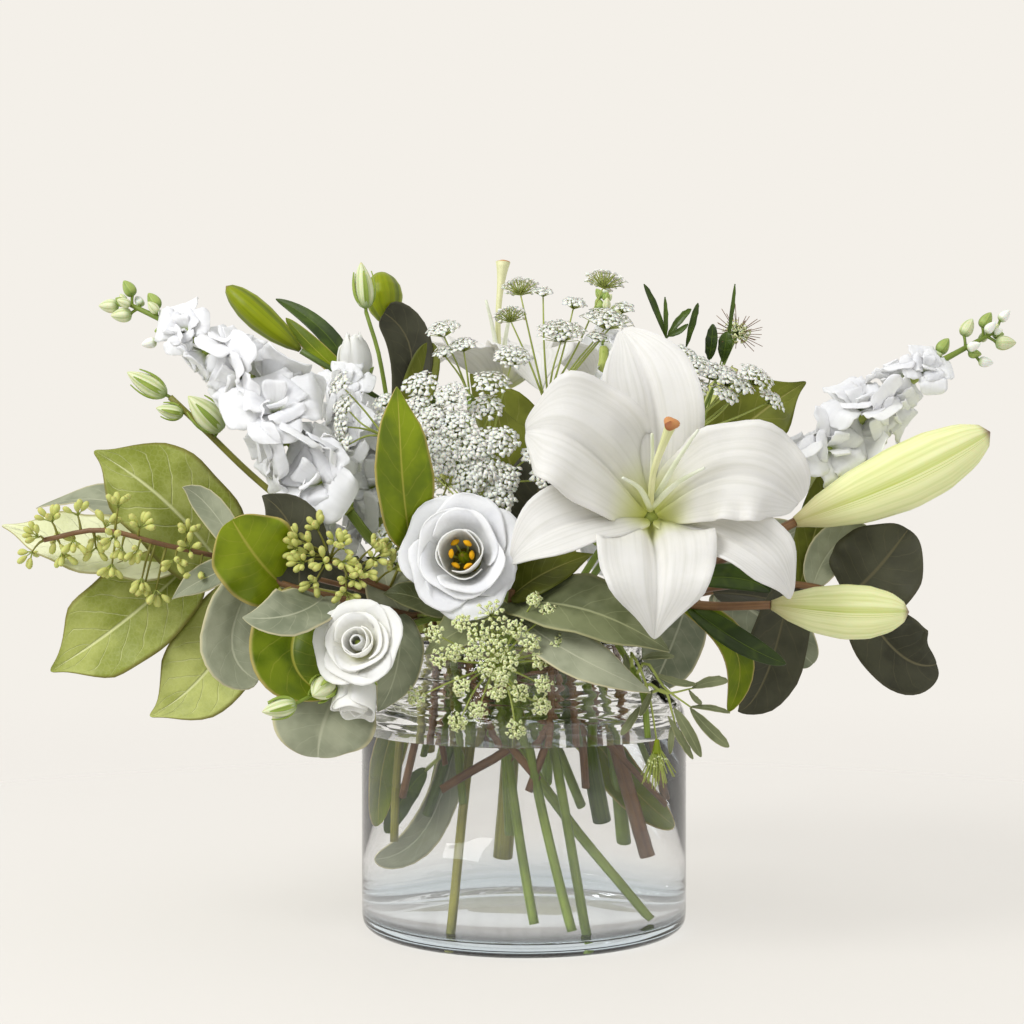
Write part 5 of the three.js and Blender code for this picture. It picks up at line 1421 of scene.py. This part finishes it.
# %% Stems of the foliage
PLANT_STEMS = dict(  # angle and radius of the slot, foot, thickness, the places over it
    ammi_centre=[-95, 24, 50, 1.8, [[466, 500, -40], [478, 550, -38]]],
    ammi_top=[50, 14, 58, 1.8, [[545, 406, -24], [540, 470, -12], [532, 540, 0]]],
    ammi_right=[-30, 20, 60, 1.7, [[690, 440, -28], [660, 480, -14], [600, 550, -6]]],
    ammi_left=[-150, 39, 70, 1.5, [[380, 445, -48], [400, 500, -46], [440, 570, -40]]],
    ammi_front=[-98, 45, 10, 2, [[496, 660, -80], [500, 645, -62]]],
    ammi_tassel=[-44, 45, 64, 1.5, [[648, 738, -92], [642, 690, -88], [620, 648, -72]]],
    ammi_back=[112, 37, 40, 1.8, [[470, 520, 96], [480, 560, 78]]],
    eucalyptus_up=[-122, 45, 70, 1.6, [[411, 545, -76], [430, 580, -66]]],
    eucalyptus_centre=[-76, 45, 66, 1.6, [[512, 590, -78], [512, 615, -70]]],
    eucalyptus_left=[-150, 46, 58, 1.7, [[240, 560, -72], [286, 585, -76], [346, 600, -72],
                                         [407, 615, -58]]],
    eucalyptus_right=[-12, 44, 50, 1.8, [[860, 600, -12], [800, 585, -10], [700, 590, 0]]],
    seeded_left=[-172, 36, 68, 1.2, [[44, 540, -60], [100, 530, -62], [165, 545, -60],
                                     [260, 566, -50], [360, 590, -36]]],
    seeded_centre=[-138, 34, 72, 1.5, [[330, 560, -74], [370, 582, -66], [420, 600, -52]]],
    salal_left=[180, 45, 40, 1.9, [[170, 560, -34], [220, 572, -22], [320, 592, -8]]],
    salal_right=[24, 42, 66, 1.8, [[700, 465, 44], [680, 510, 38], [640, 570, 20]]],
    salal_back=[96, 46, 60, 1.8, [[500, 590, 118], [500, 600, 92]]],
    eucalyptus_back_left=[134, 44, 66, 1.7, [[350, 600, 104], [400, 604, 84]]],
    eucalyptus_back_right=[42, 45, 64, 1.7, [[720, 590, 100], [650, 604, 80]]],
)
PLANT_SLOTS = dict(eucalyptus="silver_leaf", salal="lemon_leaf", ammi="lace", seeded="seed")
STEM_FINISHES = dict(eucalyptus="brown stem", salal="olive stem", ammi="green stem",
                     seeded="brown stem")
LEANS = dict(  # how far the short stems turn aside under the water, in radians for 100 mm
    eucalyptus_up=1.3, eucalyptus_centre=-1.2, eucalyptus_left=-0.8, seeded_left=0.9,
    seeded_centre=1.5, ammi_left=-0.9, ammi_tassel=0.7, salal_right=-1.0, ammi_centre=1.2,
    eucalyptus_back_left=1.0, eucalyptus_back_right=-1.2, ammi_right=1.4, ammi_top=-1.0)
plants = {}  # the bunch of each piece

for name, plan in PLANT_STEMS.items():
    plants[name] = Bunch()
    finish = STEM_FINISHES[name.split("_")[0]]
    grow_stem(name, plants[name], *plan, finish, LEANS.get(name, 0))
    if name == "eucalyptus_left":
        grow_shoot(name, plants[name], [[352, 616, -72], [346, 650, -68], [347, 682, -74]], 1.3,
                   "brown stem")
print("stems with leaves or lace:", len(plants))

# %% [markdown]
# Four outlines serve for all the leaves. A leaf is one row of the plan: which finish, its base,
# its middle and its tip, its width, its outline, and how it faces when that is not ahead.

# %% Leaves of the foliage
OVAL = dict(peak=0.4, taper=0.95, point=1.3, drip=0.3, cup=0.16, wave=0.07)
ROUND = dict(peak=0.5, taper=0.62, point=0.72, drip=0.25, cup=0.12, wave=0.08)
LONG = dict(peak=0.42, taper=1.1, point=1.5, drip=0.3, cup=0.2)
LEMON = dict(peak=0.42, taper=0.72, point=0.8, drip=0.75, cup=0.2, wave=0.08)
FOLIAGE = dict(  # finish, base, middle, tip, width in mm, outline, face
    eucalyptus_up=[
        ["bright", [411, 543, -76], [402, 465, -90], [399, 384, -82], 25, OVAL, [0.5, -1, 0]],
    ],
    eucalyptus_centre=[
        ["sage", [516, 600, -74], [590, 610, -102], [668, 652, -99], 30, OVAL, [-0.1, -0.7, 0.75]],
        ["silver", [508, 622, -78], [575, 655, -106], [655, 690, -100], 20, OVAL, [0, -0.85, 0.5]],
        ["olive", [512, 592, -74], [545, 572, -84], [592, 556, -76], 20, LONG, [0, -0.8, 0.6]],
        ["sage", [506, 612, -76], [462, 628, -83], [425, 655, -76], 22, OVAL, [0.1, -0.7, 0.7]],
    ],
    eucalyptus_left=[
        ["bright", [284, 575, -76], [256, 556, -88], [232, 520, -92], 36, ROUND, [0.3, -1, 0.2]],
        ["silver", [327, 592, -82], [290, 614, -104], [243, 618, -106], 24, OVAL, [0, -1, 0.5]],
        ["silver", [262, 568, -74], [232, 640, -84], [258, 680, -88], 28, ROUND, [0.5, -1, 0]],
        ["bright", [318, 592, -80], [292, 655, -88], [330, 698, -86], 34, OVAL, [0, -1, 0.2]],
        ["silver", [347, 680, -74], [325, 718, -84], [318, 757, -82], 42, ROUND, [0.1, -1, 0.1]],
        ["silver", [405, 612, -66], [398, 664, -84], [378, 714, -83], 20, OVAL, [0.4, -1, 0.1]],
        ["silver", [246, 562, -74], [210, 508, -66], [182, 488, -66], 12, LONG],
        ["slate", [300, 584, -76], [292, 530, -74], [262, 496, -75], 26, OVAL],
        ["silver", [242, 566, -72], [205, 578, -66], [172, 598, -68], 12, LONG],
        ["silver", [407, 614, -60], [388, 588, -62], [384, 556, -56], 20, OVAL, [0.2, -1, 0.2]],
        ["sage", [446, 612, -58], [412, 596, -68], [384, 594, -66], 13, OVAL, [0, -1, 0.5]],
        ["slate", [430, 618, -40], [388, 590, -30], [352, 556, -28], 30, OVAL, [0, -1, 0.3]],
    ],
    eucalyptus_right=[
        # The slate leaves here are on the shaded side, with painted shade in their finish.
        ["slate", [846, 598, -12], [874, 572, -18], [908, 530, -18], 40, ROUND, [-0.3, -1, 0.1]],
        ["slate", [860, 602, -14], [900, 654, -24], [938, 664, -24], 31, ROUND, [0, -1, 0.2]],
        ["silver", [812, 590, -10], [842, 540, -2], [886, 544, -2], 18, OVAL],
        ["slate", [790, 588, -12], [768, 672, -26], [740, 710, -26], 27, OVAL, [0.2, -1, 0.1]],
        ["olive", [800, 586, -6], [826, 500, 14], [850, 455, 14], 18, OVAL],
    ],
    ammi_top=[
        ["olive", [540, 462, 4], [510, 425, 14], [470, 374, 16], 30, OVAL, [0.2, -1, 0.4]],
        ["olive", [540, 470, 4], [585, 430, 18], [612, 376, 20], 28, OVAL, [-0.2, -1, 0.3]],
        ["olive", [536, 530, -2], [512, 470, -8], [496, 402, -4], 34, OVAL, [0.2, -1, 0.1]],
        ["slate", [536, 545, -2], [538, 490, -16], [552, 430, -10], 30, OVAL, [-0.1, -1, 0.1]],
        ["slate", [532, 560, 0], [470, 560, -24], [424, 520, -22], 30, OVAL, [0, -1, 0.3]],
    ],
    salal_left=[
        ["lemon", [232, 562, -24], [165, 500, -40], [96, 455, -36], 42, LEMON, [0.1, -1, 0.45]],
        ["pale lemon", [178, 562, -33], [90, 548, -40], [2, 521, -38], 32, LEMON, [0, -0.8, 0.8]],
        ["lemon", [188, 572, -32], [122, 622, -46], [51, 671, -44], 38, LEMON, [0.1, -1, 0.4]],
        ["lemon", [264, 584, -18], [212, 664, -44], [154, 716, -44], 36, LEMON, [0.1, -1, 0.3]],
        ["silver", [172, 558, -34], [125, 505, 2], [34, 502, 20], 34, OVAL, [0, -0.5, 1]],
        ["lemon", [260, 580, -16], [200, 560, 40], [120, 560, 76], 36, LEMON, [0, 0.3, 1]],
    ],
    salal_right=[
        ["olive", [696, 478, 43], [745, 425, 34], [806, 382, 34], 32, LEMON],
        ["lemon", [690, 495, 41], [770, 480, 70], [850, 505, 84], 34, LEMON, [0, 0, 1]],
        ["lemon", [700, 470, 44], [712, 405, 76], [736, 370, 100], 32, LEMON, [0.2, 0.6, 0.8]],
    ],
    salal_back=[
        ["lemon", [500, 596, 112], [440, 625, 140], [380, 680, 146], 38, LEMON, [-0.1, 0.9, 0.5]],
        ["lemon", [500, 590, 118], [520, 640, 150], [512, 710, 152], 38, LEMON, [0, 1, 0.3]],
        ["lemon", [500, 600, 108], [566, 628, 140], [640, 670, 142], 38, LEMON, [0.1, 0.9, 0.5]],
        ["lemon", [500, 592, 116], [545, 560, 150], [560, 510, 166], 34, LEMON, [0, 0.9, 0.4]],
        ["lemon", [498, 592, 116], [420, 545, 140], [362, 520, 150], 36, LEMON, [0, 0.9, 0.5]],
    ],
    eucalyptus_back_left=[
        ["silver", [350, 600, 103], [300, 620, 124], [250, 660, 122], 34, ROUND, [-0.4, 0.8, 0.3]],
        ["silver", [360, 600, 102], [330, 560, 128], [286, 536, 134], 32, ROUND, [-0.3, 0.8, 0.5]],
        ["silver", [376, 602, 96], [352, 650, 122], [346, 708, 120], 34, ROUND, [-0.2, 1, 0.1]],
        ["slate", [352, 600, 100], [290, 590, 84], [226, 612, 74], 32, ROUND, [-0.6, 0.5, 0.6]],
    ],
    eucalyptus_back_right=[
        ["silver", [720, 590, 100], [766, 620, 116], [812, 664, 112], 34, ROUND, [0.4, 0.8, 0.3]],
        ["silver", [715, 590, 99], [752, 556, 122], [800, 530, 126], 32, ROUND, [0.3, 0.8, 0.5]],
        ["silver", [690, 596, 92], [672, 645, 118], [652, 690, 118], 30, ROUND, [0.2, 1, 0.1]],
        ["slate", [716, 592, 94], [780, 600, 74], [836, 632, 62], 30, ROUND, [0.6, 0.4, 0.6]],
    ],
)


CURL = dict(lemon=1.14, other=1.06)  # how much width a blade loses to its curl, as a factor
LARGE_LEAF = 30  # mm wide
SMALL_LEAF = 15  # mm wide


def leaf_detail(width):
    """More cells for a leaf that is seen large."""
    return FINE if width > LARGE_LEAF else PLAIN if width > SMALL_LEAF else SMALL


def lay_leaf(name, index, finish, base, mid, tip, width, form, face=AHEAD):
    """One leaf of a piece, turned and toned a little by its place in the row."""
    phase = 2.1 * index + len(name)
    curl = CURL["lemon" if form is LEMON else "other"]
    leafy(name, plants[name], f"{finish} leaf", base, mid, tip, width * curl, form, face,
          groove=0.12, twist=0.18 * math.sin(phase), recurve=0.04 * math.cos(phase),
          detail=leaf_detail(width), tone=0.5 + 0.5 * math.sin(1.7 * phase), phase=phase)


for name, leaves in FOLIAGE.items():
    for index, leaf in enumerate(leaves):
        lay_leaf(name, index, *leaf)
print("leaves laid:", sum(len(leaves) for leaves in FOLIAGE.values()))

# %% [markdown]
# A lace flower's rays spread from a hub and end in umbellets, each a shallow dome of tiny florets
# on hair-thin stalks. The sunflower's step spreads the florets evenly.

# %% Lace heads
LACE = [  # piece, hub, where its umbellets look, how far they bulge, their places and sizes
    ("ammi_centre", [468, 497, -40], [-0.1, -0.85, 0.5], 32, [
        [420, 384, 7.5], [451, 396, 8], [415, 406, 6.5], [431, 419, 8.5], [457, 425, 9],
        [439, 447, 9], [474, 445, 8.5], [501, 441, 8], [441, 463, 7.5], [467, 477, 8.5],
        [484, 467, 7.5], [505, 477, 7], [496, 498, 9], [530, 455, 4], [546, 477, 6.5]]),
    ("ammi_centre", [490, 450, -36], [0, -0.7, 0.7], 16, [
        [512, 357, 9], [491, 383, 8.5], [486, 407, 8]]),
    ("ammi_centre", [470, 398, -24], [-0.1, -0.55, 0.8], 8, [
        [442, 329, 8], [463, 345, 6.5], [444, 352, 5]]),
    ("ammi_top", [548, 402, -24], [0, -0.5, 0.85], 10, [
        [562, 331, 11], [608, 319, 10.5], [624, 308, 5], [598, 337, 5], [574, 303, 6],
        [543, 292, 4.5]]),
    ("ammi_top", [545, 402, -22], [0.05, 0.5, 0.85], 4, [
        [520, 287, 8.5], [510, 315, 7.5], [605, 280, 9]]),
    ("ammi_right", [690, 434, -28], [0.3, -0.6, 0.75], 14, [
        [680, 353, 7.5], [697, 365, 8.5], [713, 372, 8], [694, 385, 7], [730, 378, 8.5],
        [725, 394, 6.5], [743, 386, 6], [757, 377, 8.5], [772, 399, 6]]),
    ("ammi_left", [384, 436, -50], [-0.6, -0.7, 0.3], 8, [
        [339, 384, 5.5], [343, 407, 6], [341, 425, 5], [343, 444, 5.5]]),
    ("ammi_left", [396, 440, -44], [-0.2, -0.8, 0.5], 6, [[385, 402, 5.5], [387, 416, 5]]),
    ("ammi_left", [404, 562, -54], [-0.3, -0.9, 0.3], 10, [[387, 535, 6], [396, 551, 5]]),
    ("ammi_front", [497, 664, -84], [-0.05, -0.95, 0.2], 24, [
        [491, 613, 6], [462, 623, 4], [434, 633, 4.2], [441, 658, 4.4], [455, 652, 3.6],
        [478, 634, 5], [497, 634, 5.5], [515, 628, 4.4], [530, 642, 4.6], [487, 667, 4.4],
        [501, 677, 3.8], [509, 659, 4.4], [494, 650, 5], [474, 652, 4], [416, 697, 4.2],
        [461, 687, 3.8], [478, 711, 3.8], [458, 723, 3.8], [497, 692, 3.8], [519, 691, 4.2],
        [516, 730, 4], [542, 706, 4], [543, 685, 4], [540, 660, 3.8], [560, 645, 3.8],
        [549, 612, 3.6], [534, 600, 3]]),
    ("ammi_back", [470, 512, 100], [-0.15, 0.75, 0.6], -34, [
        [450, 440, 8], [420, 460, 8], [480, 455, 8.5], [445, 478, 9], [472, 490, 8],
        [415, 490, 8], [500, 482, 8], [440, 508, 8], [505, 455, 6]]),
]
GOLDEN = 2.39996  # radians, the step of a sunflower


def umbellet(bunch, centre, out, size, finish, dice):
    """A shallow dome of florets on hair-thin stalks; size is its radius in mm."""
    side, other = axes_round(out)
    green = finish == "green floret"
    count = 16 if green else round(6 + 0.62 * size**2)
    steps = np.arange(count)
    share = np.sqrt((steps + 0.5) / count)
    turn = steps * GOLDEN + dice.uniform(0, 6)
    away = side * np.cos(turn)[:, None] + other * np.sin(turn)[:, None]
    reach = size * share * dice.uniform(0.84, 1.14, count)
    lift = size * (0.3 - 0.36 * share**2) + dice.uniform(-0.6, 0.6, count)
    places = centre + (away * reach[:, None] + out * lift[:, None]) * MM
    faces = unit(out + away * (0.6 * share)[:, None] + dice.normal(0, 0.16, (count, 3)))
    foot = centre - out * size * 0.5 * MM
    lean = places - foot
    plant(bunch, "pale stem", TWIG, np.repeat(foot[None], count, 0), lean,
          0.22 * MM, np.linalg.norm(lean, axis=1), tone=0.9)
    least, most = (0.95, 1.4) if green else (1.15, 1.75)
    plant(bunch, finish, FLORET, places + faces * 0.5 * MM, faces,
          dice.uniform(least, most, count) * MM, None, dice.uniform(0, 6, count),
          dice.uniform(0.2, 0.9))


def lace_head(name, bunch, hub, face, bulge, places):
    """Rays from a hub, each with its umbellet at its place; the middle ones bulge forward."""
    dice = np.random.default_rng(len(places) + abs(bulge))
    centre, out = at(hub), unit(face)
    finish = "green floret" if name == "ammi_front" else "lace floret"
    root = nearest(name, centre)
    if np.linalg.norm(root - centre) > 1.5 * MM:
        stalk(bunch, "green stem", [root, (root + centre) / 2, centre], 1.1)
    aways = [math.hypot(across - hub[0], down - hub[1]) for across, down, _ in places]
    for (across, down, size), away in zip(places, aways):
        share = 1 - 0.6 * (away / max(aways)) ** 2
        end = at([across, down, hub[2] - bulge * share])
        ray = unit(end - centre)
        below = end - unit(ray + out) * size * 0.5 * MM
        bow = (centre + below) / 2 + dice.normal(0, 1.2, 3) * MM
        stalk(bunch, "pale stem", [centre, bow, below], 0.42, SLIM, 0.4, tapering(1.3, 0.8))
        umbellet(bunch, end, unit(ray * 0.45 + out), size, finish, dice)
    stalk(bunch, "green stem", [centre - out * 2 * MM, centre, centre + out * 2 * MM],
          1.8, SHORT, 0.6, bulging(0.5, 0.5))


for name, *plan in LACE:
    lace_head(name, plants[name], *plan)
print("umbellets:", sum(len(plan[-1]) for plan in LACE))

# %% [markdown]
# ## Seeded sprays and fine greens
#
# Seeded eucalyptus carries clusters of small long berries along its brown stem. A frond hangs
# over the lip, and dark sprigs stand over the lace flower.

# %% Berries
SPRAYS = dict(  # the places of the clusters
    seeded_left=[
        [32, 552, -56], [52, 522, -64], [62, 552, -58], [78, 516, -62], [96, 548, -56],
        [118, 508, -64], [112, 564, -62], [140, 528, -66], [142, 578, -62], [156, 590, -60],
        [188, 534, -64], [200, 570, -62], [226, 572, -62],
    ],
    seeded_centre=[
        [298, 540, -80], [304, 562, -84], [318, 530, -78], [316, 580, -84], [336, 544, -86],
        [342, 562, -88], [346, 592, -86], [362, 572, -84], [372, 548, -78], [392, 570, -74],
        [447, 486, -56],
    ],
)


def berry_cluster(bunch, root, place, dice, count=6):
    """A few long berries that share one twig, like the ribs of a shuttlecock."""
    out = unit(place - root)
    stalk(bunch, "olive stem", [root, (root + place) / 2 + np.array([0, 0, 1.0]) * MM, place], 0.5,
          TINY, 0.7, tapering(1.4, 0.8))
    side, other = axes_round(out)
    for step in range(count):
        away = spoke(side, other, step * GOLDEN + dice.uniform(0, 1))
        axis = unit(out * dice.uniform(0.5, 1.2) + away * dice.uniform(0.5, 1.0))
        size = dice.uniform(1.45, 1.95) * MM
        centre = place + axis * (dice.uniform(2.4, 4.2) * MM + size)
        plant(bunch, "pale stem", TWIG, place[None], axis, 0.4 * MM,
              np.linalg.norm(centre - place))
        plant(bunch, "seed berry", BERRY, centre[None], axis, size, size * 1.25,
              tone=dice.uniform(0, 1))


for name, places in SPRAYS.items():
    dice = np.random.default_rng(len(places))
    for place in places:
        target = at(place)
        berry_cluster(plants[name], nearest(name, target), target, dice)
    for first, second in zip(places, places[1:]):
        target = (at(first) + at(second)) / 2 + dice.normal(0, 1.5, 3) * MM
        berry_cluster(plants[name], nearest(name, target), target, dice, 5)

# %% A frond over the lip and sprigs over the lace flower
FROND_RIBS = [[[632, 653], [647, 687], [657, 742]], [[646, 662], [664, 687], [692, 708]],
              [[650, 684], [664, 693], [694, 688]], [[664, 690], [672, 712], [676, 728]]]
SPRIG_RIBS = [[[690, 440], [672, 380], [666, 336]], [[700, 430], [716, 380], [724, 350]],
              [[692, 440], [682, 390], [686, 346]]]
FROND_DEPTH = -90
SPRIG_DEPTH = -16
FROND_LEAFLETS = [  # base and tip in the front view, and width in mm
    [641, 659, 674, 657, 3.2], [656, 674, 696, 684, 3.2], [692, 688, 728, 681, 4.6],
    [689, 690, 702, 703, 2.4], [690, 707, 730, 713, 2.6], [690, 708, 729, 747, 5.2],
    [674, 708, 701, 757, 5.0], [668, 716, 693, 759, 3.4], [672, 724, 670, 754, 2.6],
    [640, 706, 621, 735, 3.6], [625, 654, 627, 677, 3.0], [652, 690, 640, 716, 3.0],
]
SPRIG_LEAFLETS = [[666, 338, 644, 284, 3.0], [666, 338, 665, 297, 2.2], [667, 338, 691, 309, 3.6],
                  [667, 336, 688, 324, 2.8], [686, 348, 698, 303, 3.2], [709, 360, 713, 324, 5.6],
                  [723, 362, 727, 332, 6.6], [727, 344, 735, 284, 2.0]]


def leaflets(bunch, finish, depth, rows):
    """Narrow leaflets, each between two places in the front view."""
    for index, (x0, y0, x1, y1, width) in enumerate(rows):
        base, tip = at([x0, y0, depth]), at([x1, y1, depth - 3 + 2 * math.sin(index)])
        mid = (base + tip) / 2 + np.array([0, -0.0015, 0.0012 * math.cos(3 * index)])
        blade(bunch, finish, base, mid, tip, width, [0.3 * math.sin(2 * index), -1, 0.3],
              peak=0.55, taper=1.3, cup=0.3, wave=0.35, waves=5, thick=0.3, detail=SMALL,
              tone=0.5 + 0.4 * math.sin(index), phase=index)


def thin_ribs(name, finish, thick, depth, ribs):
    """Thin stalks from a piece's stem, each through places in the front view."""
    for rib in ribs:
        rib = [at([*place, depth]) for place in rib]
        stalk(plants[name], finish, [nearest(name, rib[0]), *rib], thick, SLIM, 0.4,
              tapering(1.1, 0.5))


thin_ribs("ammi_tassel", "pale stem", 0.7, FROND_DEPTH, FROND_RIBS)
leaflets(plants["ammi_tassel"], "sage leaf", FROND_DEPTH, FROND_LEAFLETS)
thin_ribs("ammi_right", "green stem", 0.6, SPRIG_DEPTH, SPRIG_RIBS)
leaflets(plants["ammi_right"], "dark leaf", SPRIG_DEPTH, SPRIG_LEAFLETS)

# %% The tassel
def tassel(bunch, place, count=44):
    """Pale threads that hang from the end of a stem, each with a bud halfway down."""
    dice = np.random.default_rng(3)
    hub = at(place)
    angles, spreads = dice.uniform(0, 2 * np.pi, count), dice.uniform(0.05, 0.62, count)
    rays = np.stack([np.sin(spreads) * np.cos(angles), np.sin(spreads) * np.sin(angles) * 0.7,
                     -np.cos(spreads)], axis=1)
    reach = dice.uniform(11, 20, count) * MM
    plant(bunch, "pale stem", TWIG, np.repeat(hub[None], count, 0), rays, 0.32 * MM, reach)
    plant(bunch, "green floret", FLORET, hub + rays * (reach * 0.55)[:, None], rays,
          dice.uniform(0.5, 1.0, count) * MM, 2 * MM)
    ends = [hub + np.array([0, 0, 0.002]), hub, hub - np.array([0, 0, 0.004])]
    stalk(bunch, "bright leaf", ends, 2.2, SHORT, 0.9, lambda t: 0.4 + 0.6 * t)


tassel(plants["ammi_tassel"], [657, 744, -93])

# %% Seed head with bristles
def bristly_head(name, bunch, place, radius=9.0, count=46):
    """A green-brown head: a knot of small seeds with long dark bristles round it."""
    dice = np.random.default_rng(5)
    heart = at(place)
    up = unit([0.3, -0.2, 1.0])
    root = nearest(name, heart)
    stalk(bunch, "green stem", [root, (root + heart) / 2, heart], 0.8, tone=0.4)
    lifts = np.linspace(-0.5, 0.95, count)
    turns = np.arange(count) * GOLDEN
    side, other = axes_round(up)
    flat = np.sqrt(1 - lifts**2)[:, None]
    rays = flat * (side * np.cos(turns)[:, None] + other * np.sin(turns)[:, None])
    rays = rays + up * lifts[:, None]
    reach = dice.uniform(0.5, 0.8, count) * radius * MM
    plant(bunch, "green stem", TWIG, np.repeat(heart[None], count, 0), rays, 0.25 * MM, reach)
    plant(bunch, "green floret", FLORET, heart + rays * reach[:, None], rays,
          dice.uniform(0.9, 1.4, count) * MM, None, dice.uniform(0, 6, count), 0.2)
    plant(bunch, "brown stem", TWIG, heart + rays * reach[:, None] * 0.8, rays,
          0.22 * MM, dice.uniform(0.5, 1.1, count) * radius * MM, tone=0.1)


bristly_head("ammi_right", plants["ammi_right"], [737, 334, -10])

# %% [markdown]
# More stems cross under the water, where a bunch is wider, and some leaves were not stripped.

# %% Under the water
DEEP_STEMS = [  # piece, finish, radius in mm, places [across, down, depth] from the neck down
    ("eucalyptus_centre", "olive stem", 1.95, [[500, 660, -30], [478, 752, -38], [457, 934, -46]]),
    ("ammi_front", "green stem", 1.95, [[524, 660, -36], [548, 752, -44], [582, 938, -48]]),
    ("salal_right", "green stem", 1.9, [[476, 660, -14], [510, 770, -14], [632, 915, -20]]),
    ("salal_left", "dark stem", 1.8, [[492, 660, 4], [478, 752, 4], [450, 836, 6]]),
    ("eucalyptus_right", "brown stem", 2.8, [[566, 660, 8], [588, 752, 4], [618, 862, 2]]),
    ("eucalyptus_up", "brown stem", 1.7, [[560, 670, -42], [532, 750, -46], [446, 796, -50]]),
    ("eucalyptus_left", "brown stem", 1.7, [[560, 665, -30], [576, 750, -40], [580, 800, -42]]),
    ("seeded_centre", "olive stem", 1.5, [[452, 662, -30], [464, 752, -34], [476, 782, -36]]),
    ("seeded_left", "brown stem", 1.4, [[556, 665, -20], [582, 752, -28], [622, 782, -34],
                                        [652, 810, -24]]),
]
DEEP_LEAVES = [  # piece, finish, base, middle, tip, width in mm
    ("eucalyptus_left", "bright leaf", [440, 745, 0], [412, 772, 0], [410, 836, 4], 17),
    ("eucalyptus_left", "silver leaf", [472, 745, 6], [456, 836, 8], [410, 862, 6], 13),
    ("seeded_left", "dark leaf", [446, 806, 4], [430, 822, 6], [420, 844, 6], 9),
    ("eucalyptus_right", "bright leaf", [549, 748, 10], [590, 806, 12], [640, 836, 6], 15),
]
for name, finish, thick, places in DEEP_STEMS:
    grow_shoot(name, plants[name], places, thick, finish, 1.05)
for name, finish, base, mid, tip, width in DEEP_LEAVES:
    base, mid, tip = at(base), at(mid), at(tip)
    foot = nearest(name, base)
    stalk(plants[name], "pale stem", [foot, (foot + base) / 2, base], 0.8, TINY)
    blade(plants[name], finish, base, mid, tip, width, [0.2, -1, 0.2], peak=0.5, taper=0.9,
          cup=0.25, wave=0.08, groove=0.1)

for name, bunch in plants.items():
    slot = PLANT_SLOTS[name.split("_")[0]]
    if name in ("ammi_front", "ammi_tassel"):
        slot = "lace_green"
    make_piece(f"{name}_grown", bunch, slot, name)

# %% [markdown]
# ## The stage
#
# A pale table runs out into a pale backdrop without a line between them: the table's finish
# fades to clear towards its edge. A large soft lamp at the front left, over the flowers, gives
# the shadows their side. A weak one at the right and the room's light fill them.

# %% Table
TABLE_RADIUS = 6.0
TABLE_DROP = 0.0002  # a hair below the vase's foot


def pale_table():
    """A round table top that fades into the backdrop."""
    deselect()
    bpy.ops.mesh.primitive_circle_add(vertices=128, radius=TABLE_RADIUS, fill_type="NGON",
                                      location=(0, 0, -TABLE_DROP))
    table = bpy.context.object
    table.name = "table"
    bpy.ops.object.transform_apply(location=True)
    tree, shader = new_finish("table", 0.6, Specular_IOR_Level=0.2,
                              Base_Color=tint(243, 239, 233))
    away = put(tree, "ShaderNodeVectorMath", {0: own_place(tree)}, operation="LENGTH")
    fill(shader.inputs["Alpha"], away["Value"].ramp(0.3, 1.2, 0.38, 0.0))
    table.data.materials.append(FINISHES["table"])


pale_table()


# %% Backdrop light
def room_light(backdrop, strength):
    """A world that looks like the backdrop and lights softly."""
    world = bpy.data.worlds.new("room")
    bpy.context.scene.world = world
    world.use_nodes = True
    tree = world.node_tree
    tree.nodes.clear()
    rays = put(tree, "ShaderNodeLightPath")
    seen = put(tree, "ShaderNodeBackground", {"Color": backdrop, "Strength": 1.0})
    soft = put(tree, "ShaderNodeBackground", {"Color": tint(250, 250, 250), "Strength": strength})
    values = {0: rays["Is Diffuse Ray"], 1: seen[0], 2: soft[0]}
    put(tree, "ShaderNodeOutputWorld", {"Surface": put(tree, "ShaderNodeMixShader", values)[0]})


def soft_lamp(name, place, size, power, aim=(0, 0, 0.17)):
    """A large square lamp that looks at the flowers, its power in watts."""
    lamp = bpy.data.lights.new(name, "AREA")
    lamp.size = size
    lamp.energy = power
    made = bpy.data.objects.new(name, lamp)
    made.location = place
    look = np.array(aim) - np.array(place)
    flat = math.hypot(look[0], look[1])
    made.rotation_euler = (math.atan2(flat, -look[2]), 0, math.atan2(-look[0], look[1]))
    bpy.context.collection.objects.link(made)


room_light(tint(244, 240, 233), 0.67)
soft_lamp("key", (-1.35, -1.2, 1.6), 1.1, 34)
soft_lamp("fill", (1.6, -1.4, 0.9), 1.6, 4)
scene = bpy.context.scene
scene.view_settings.view_transform = "Standard"
scene.view_settings.look = "None"
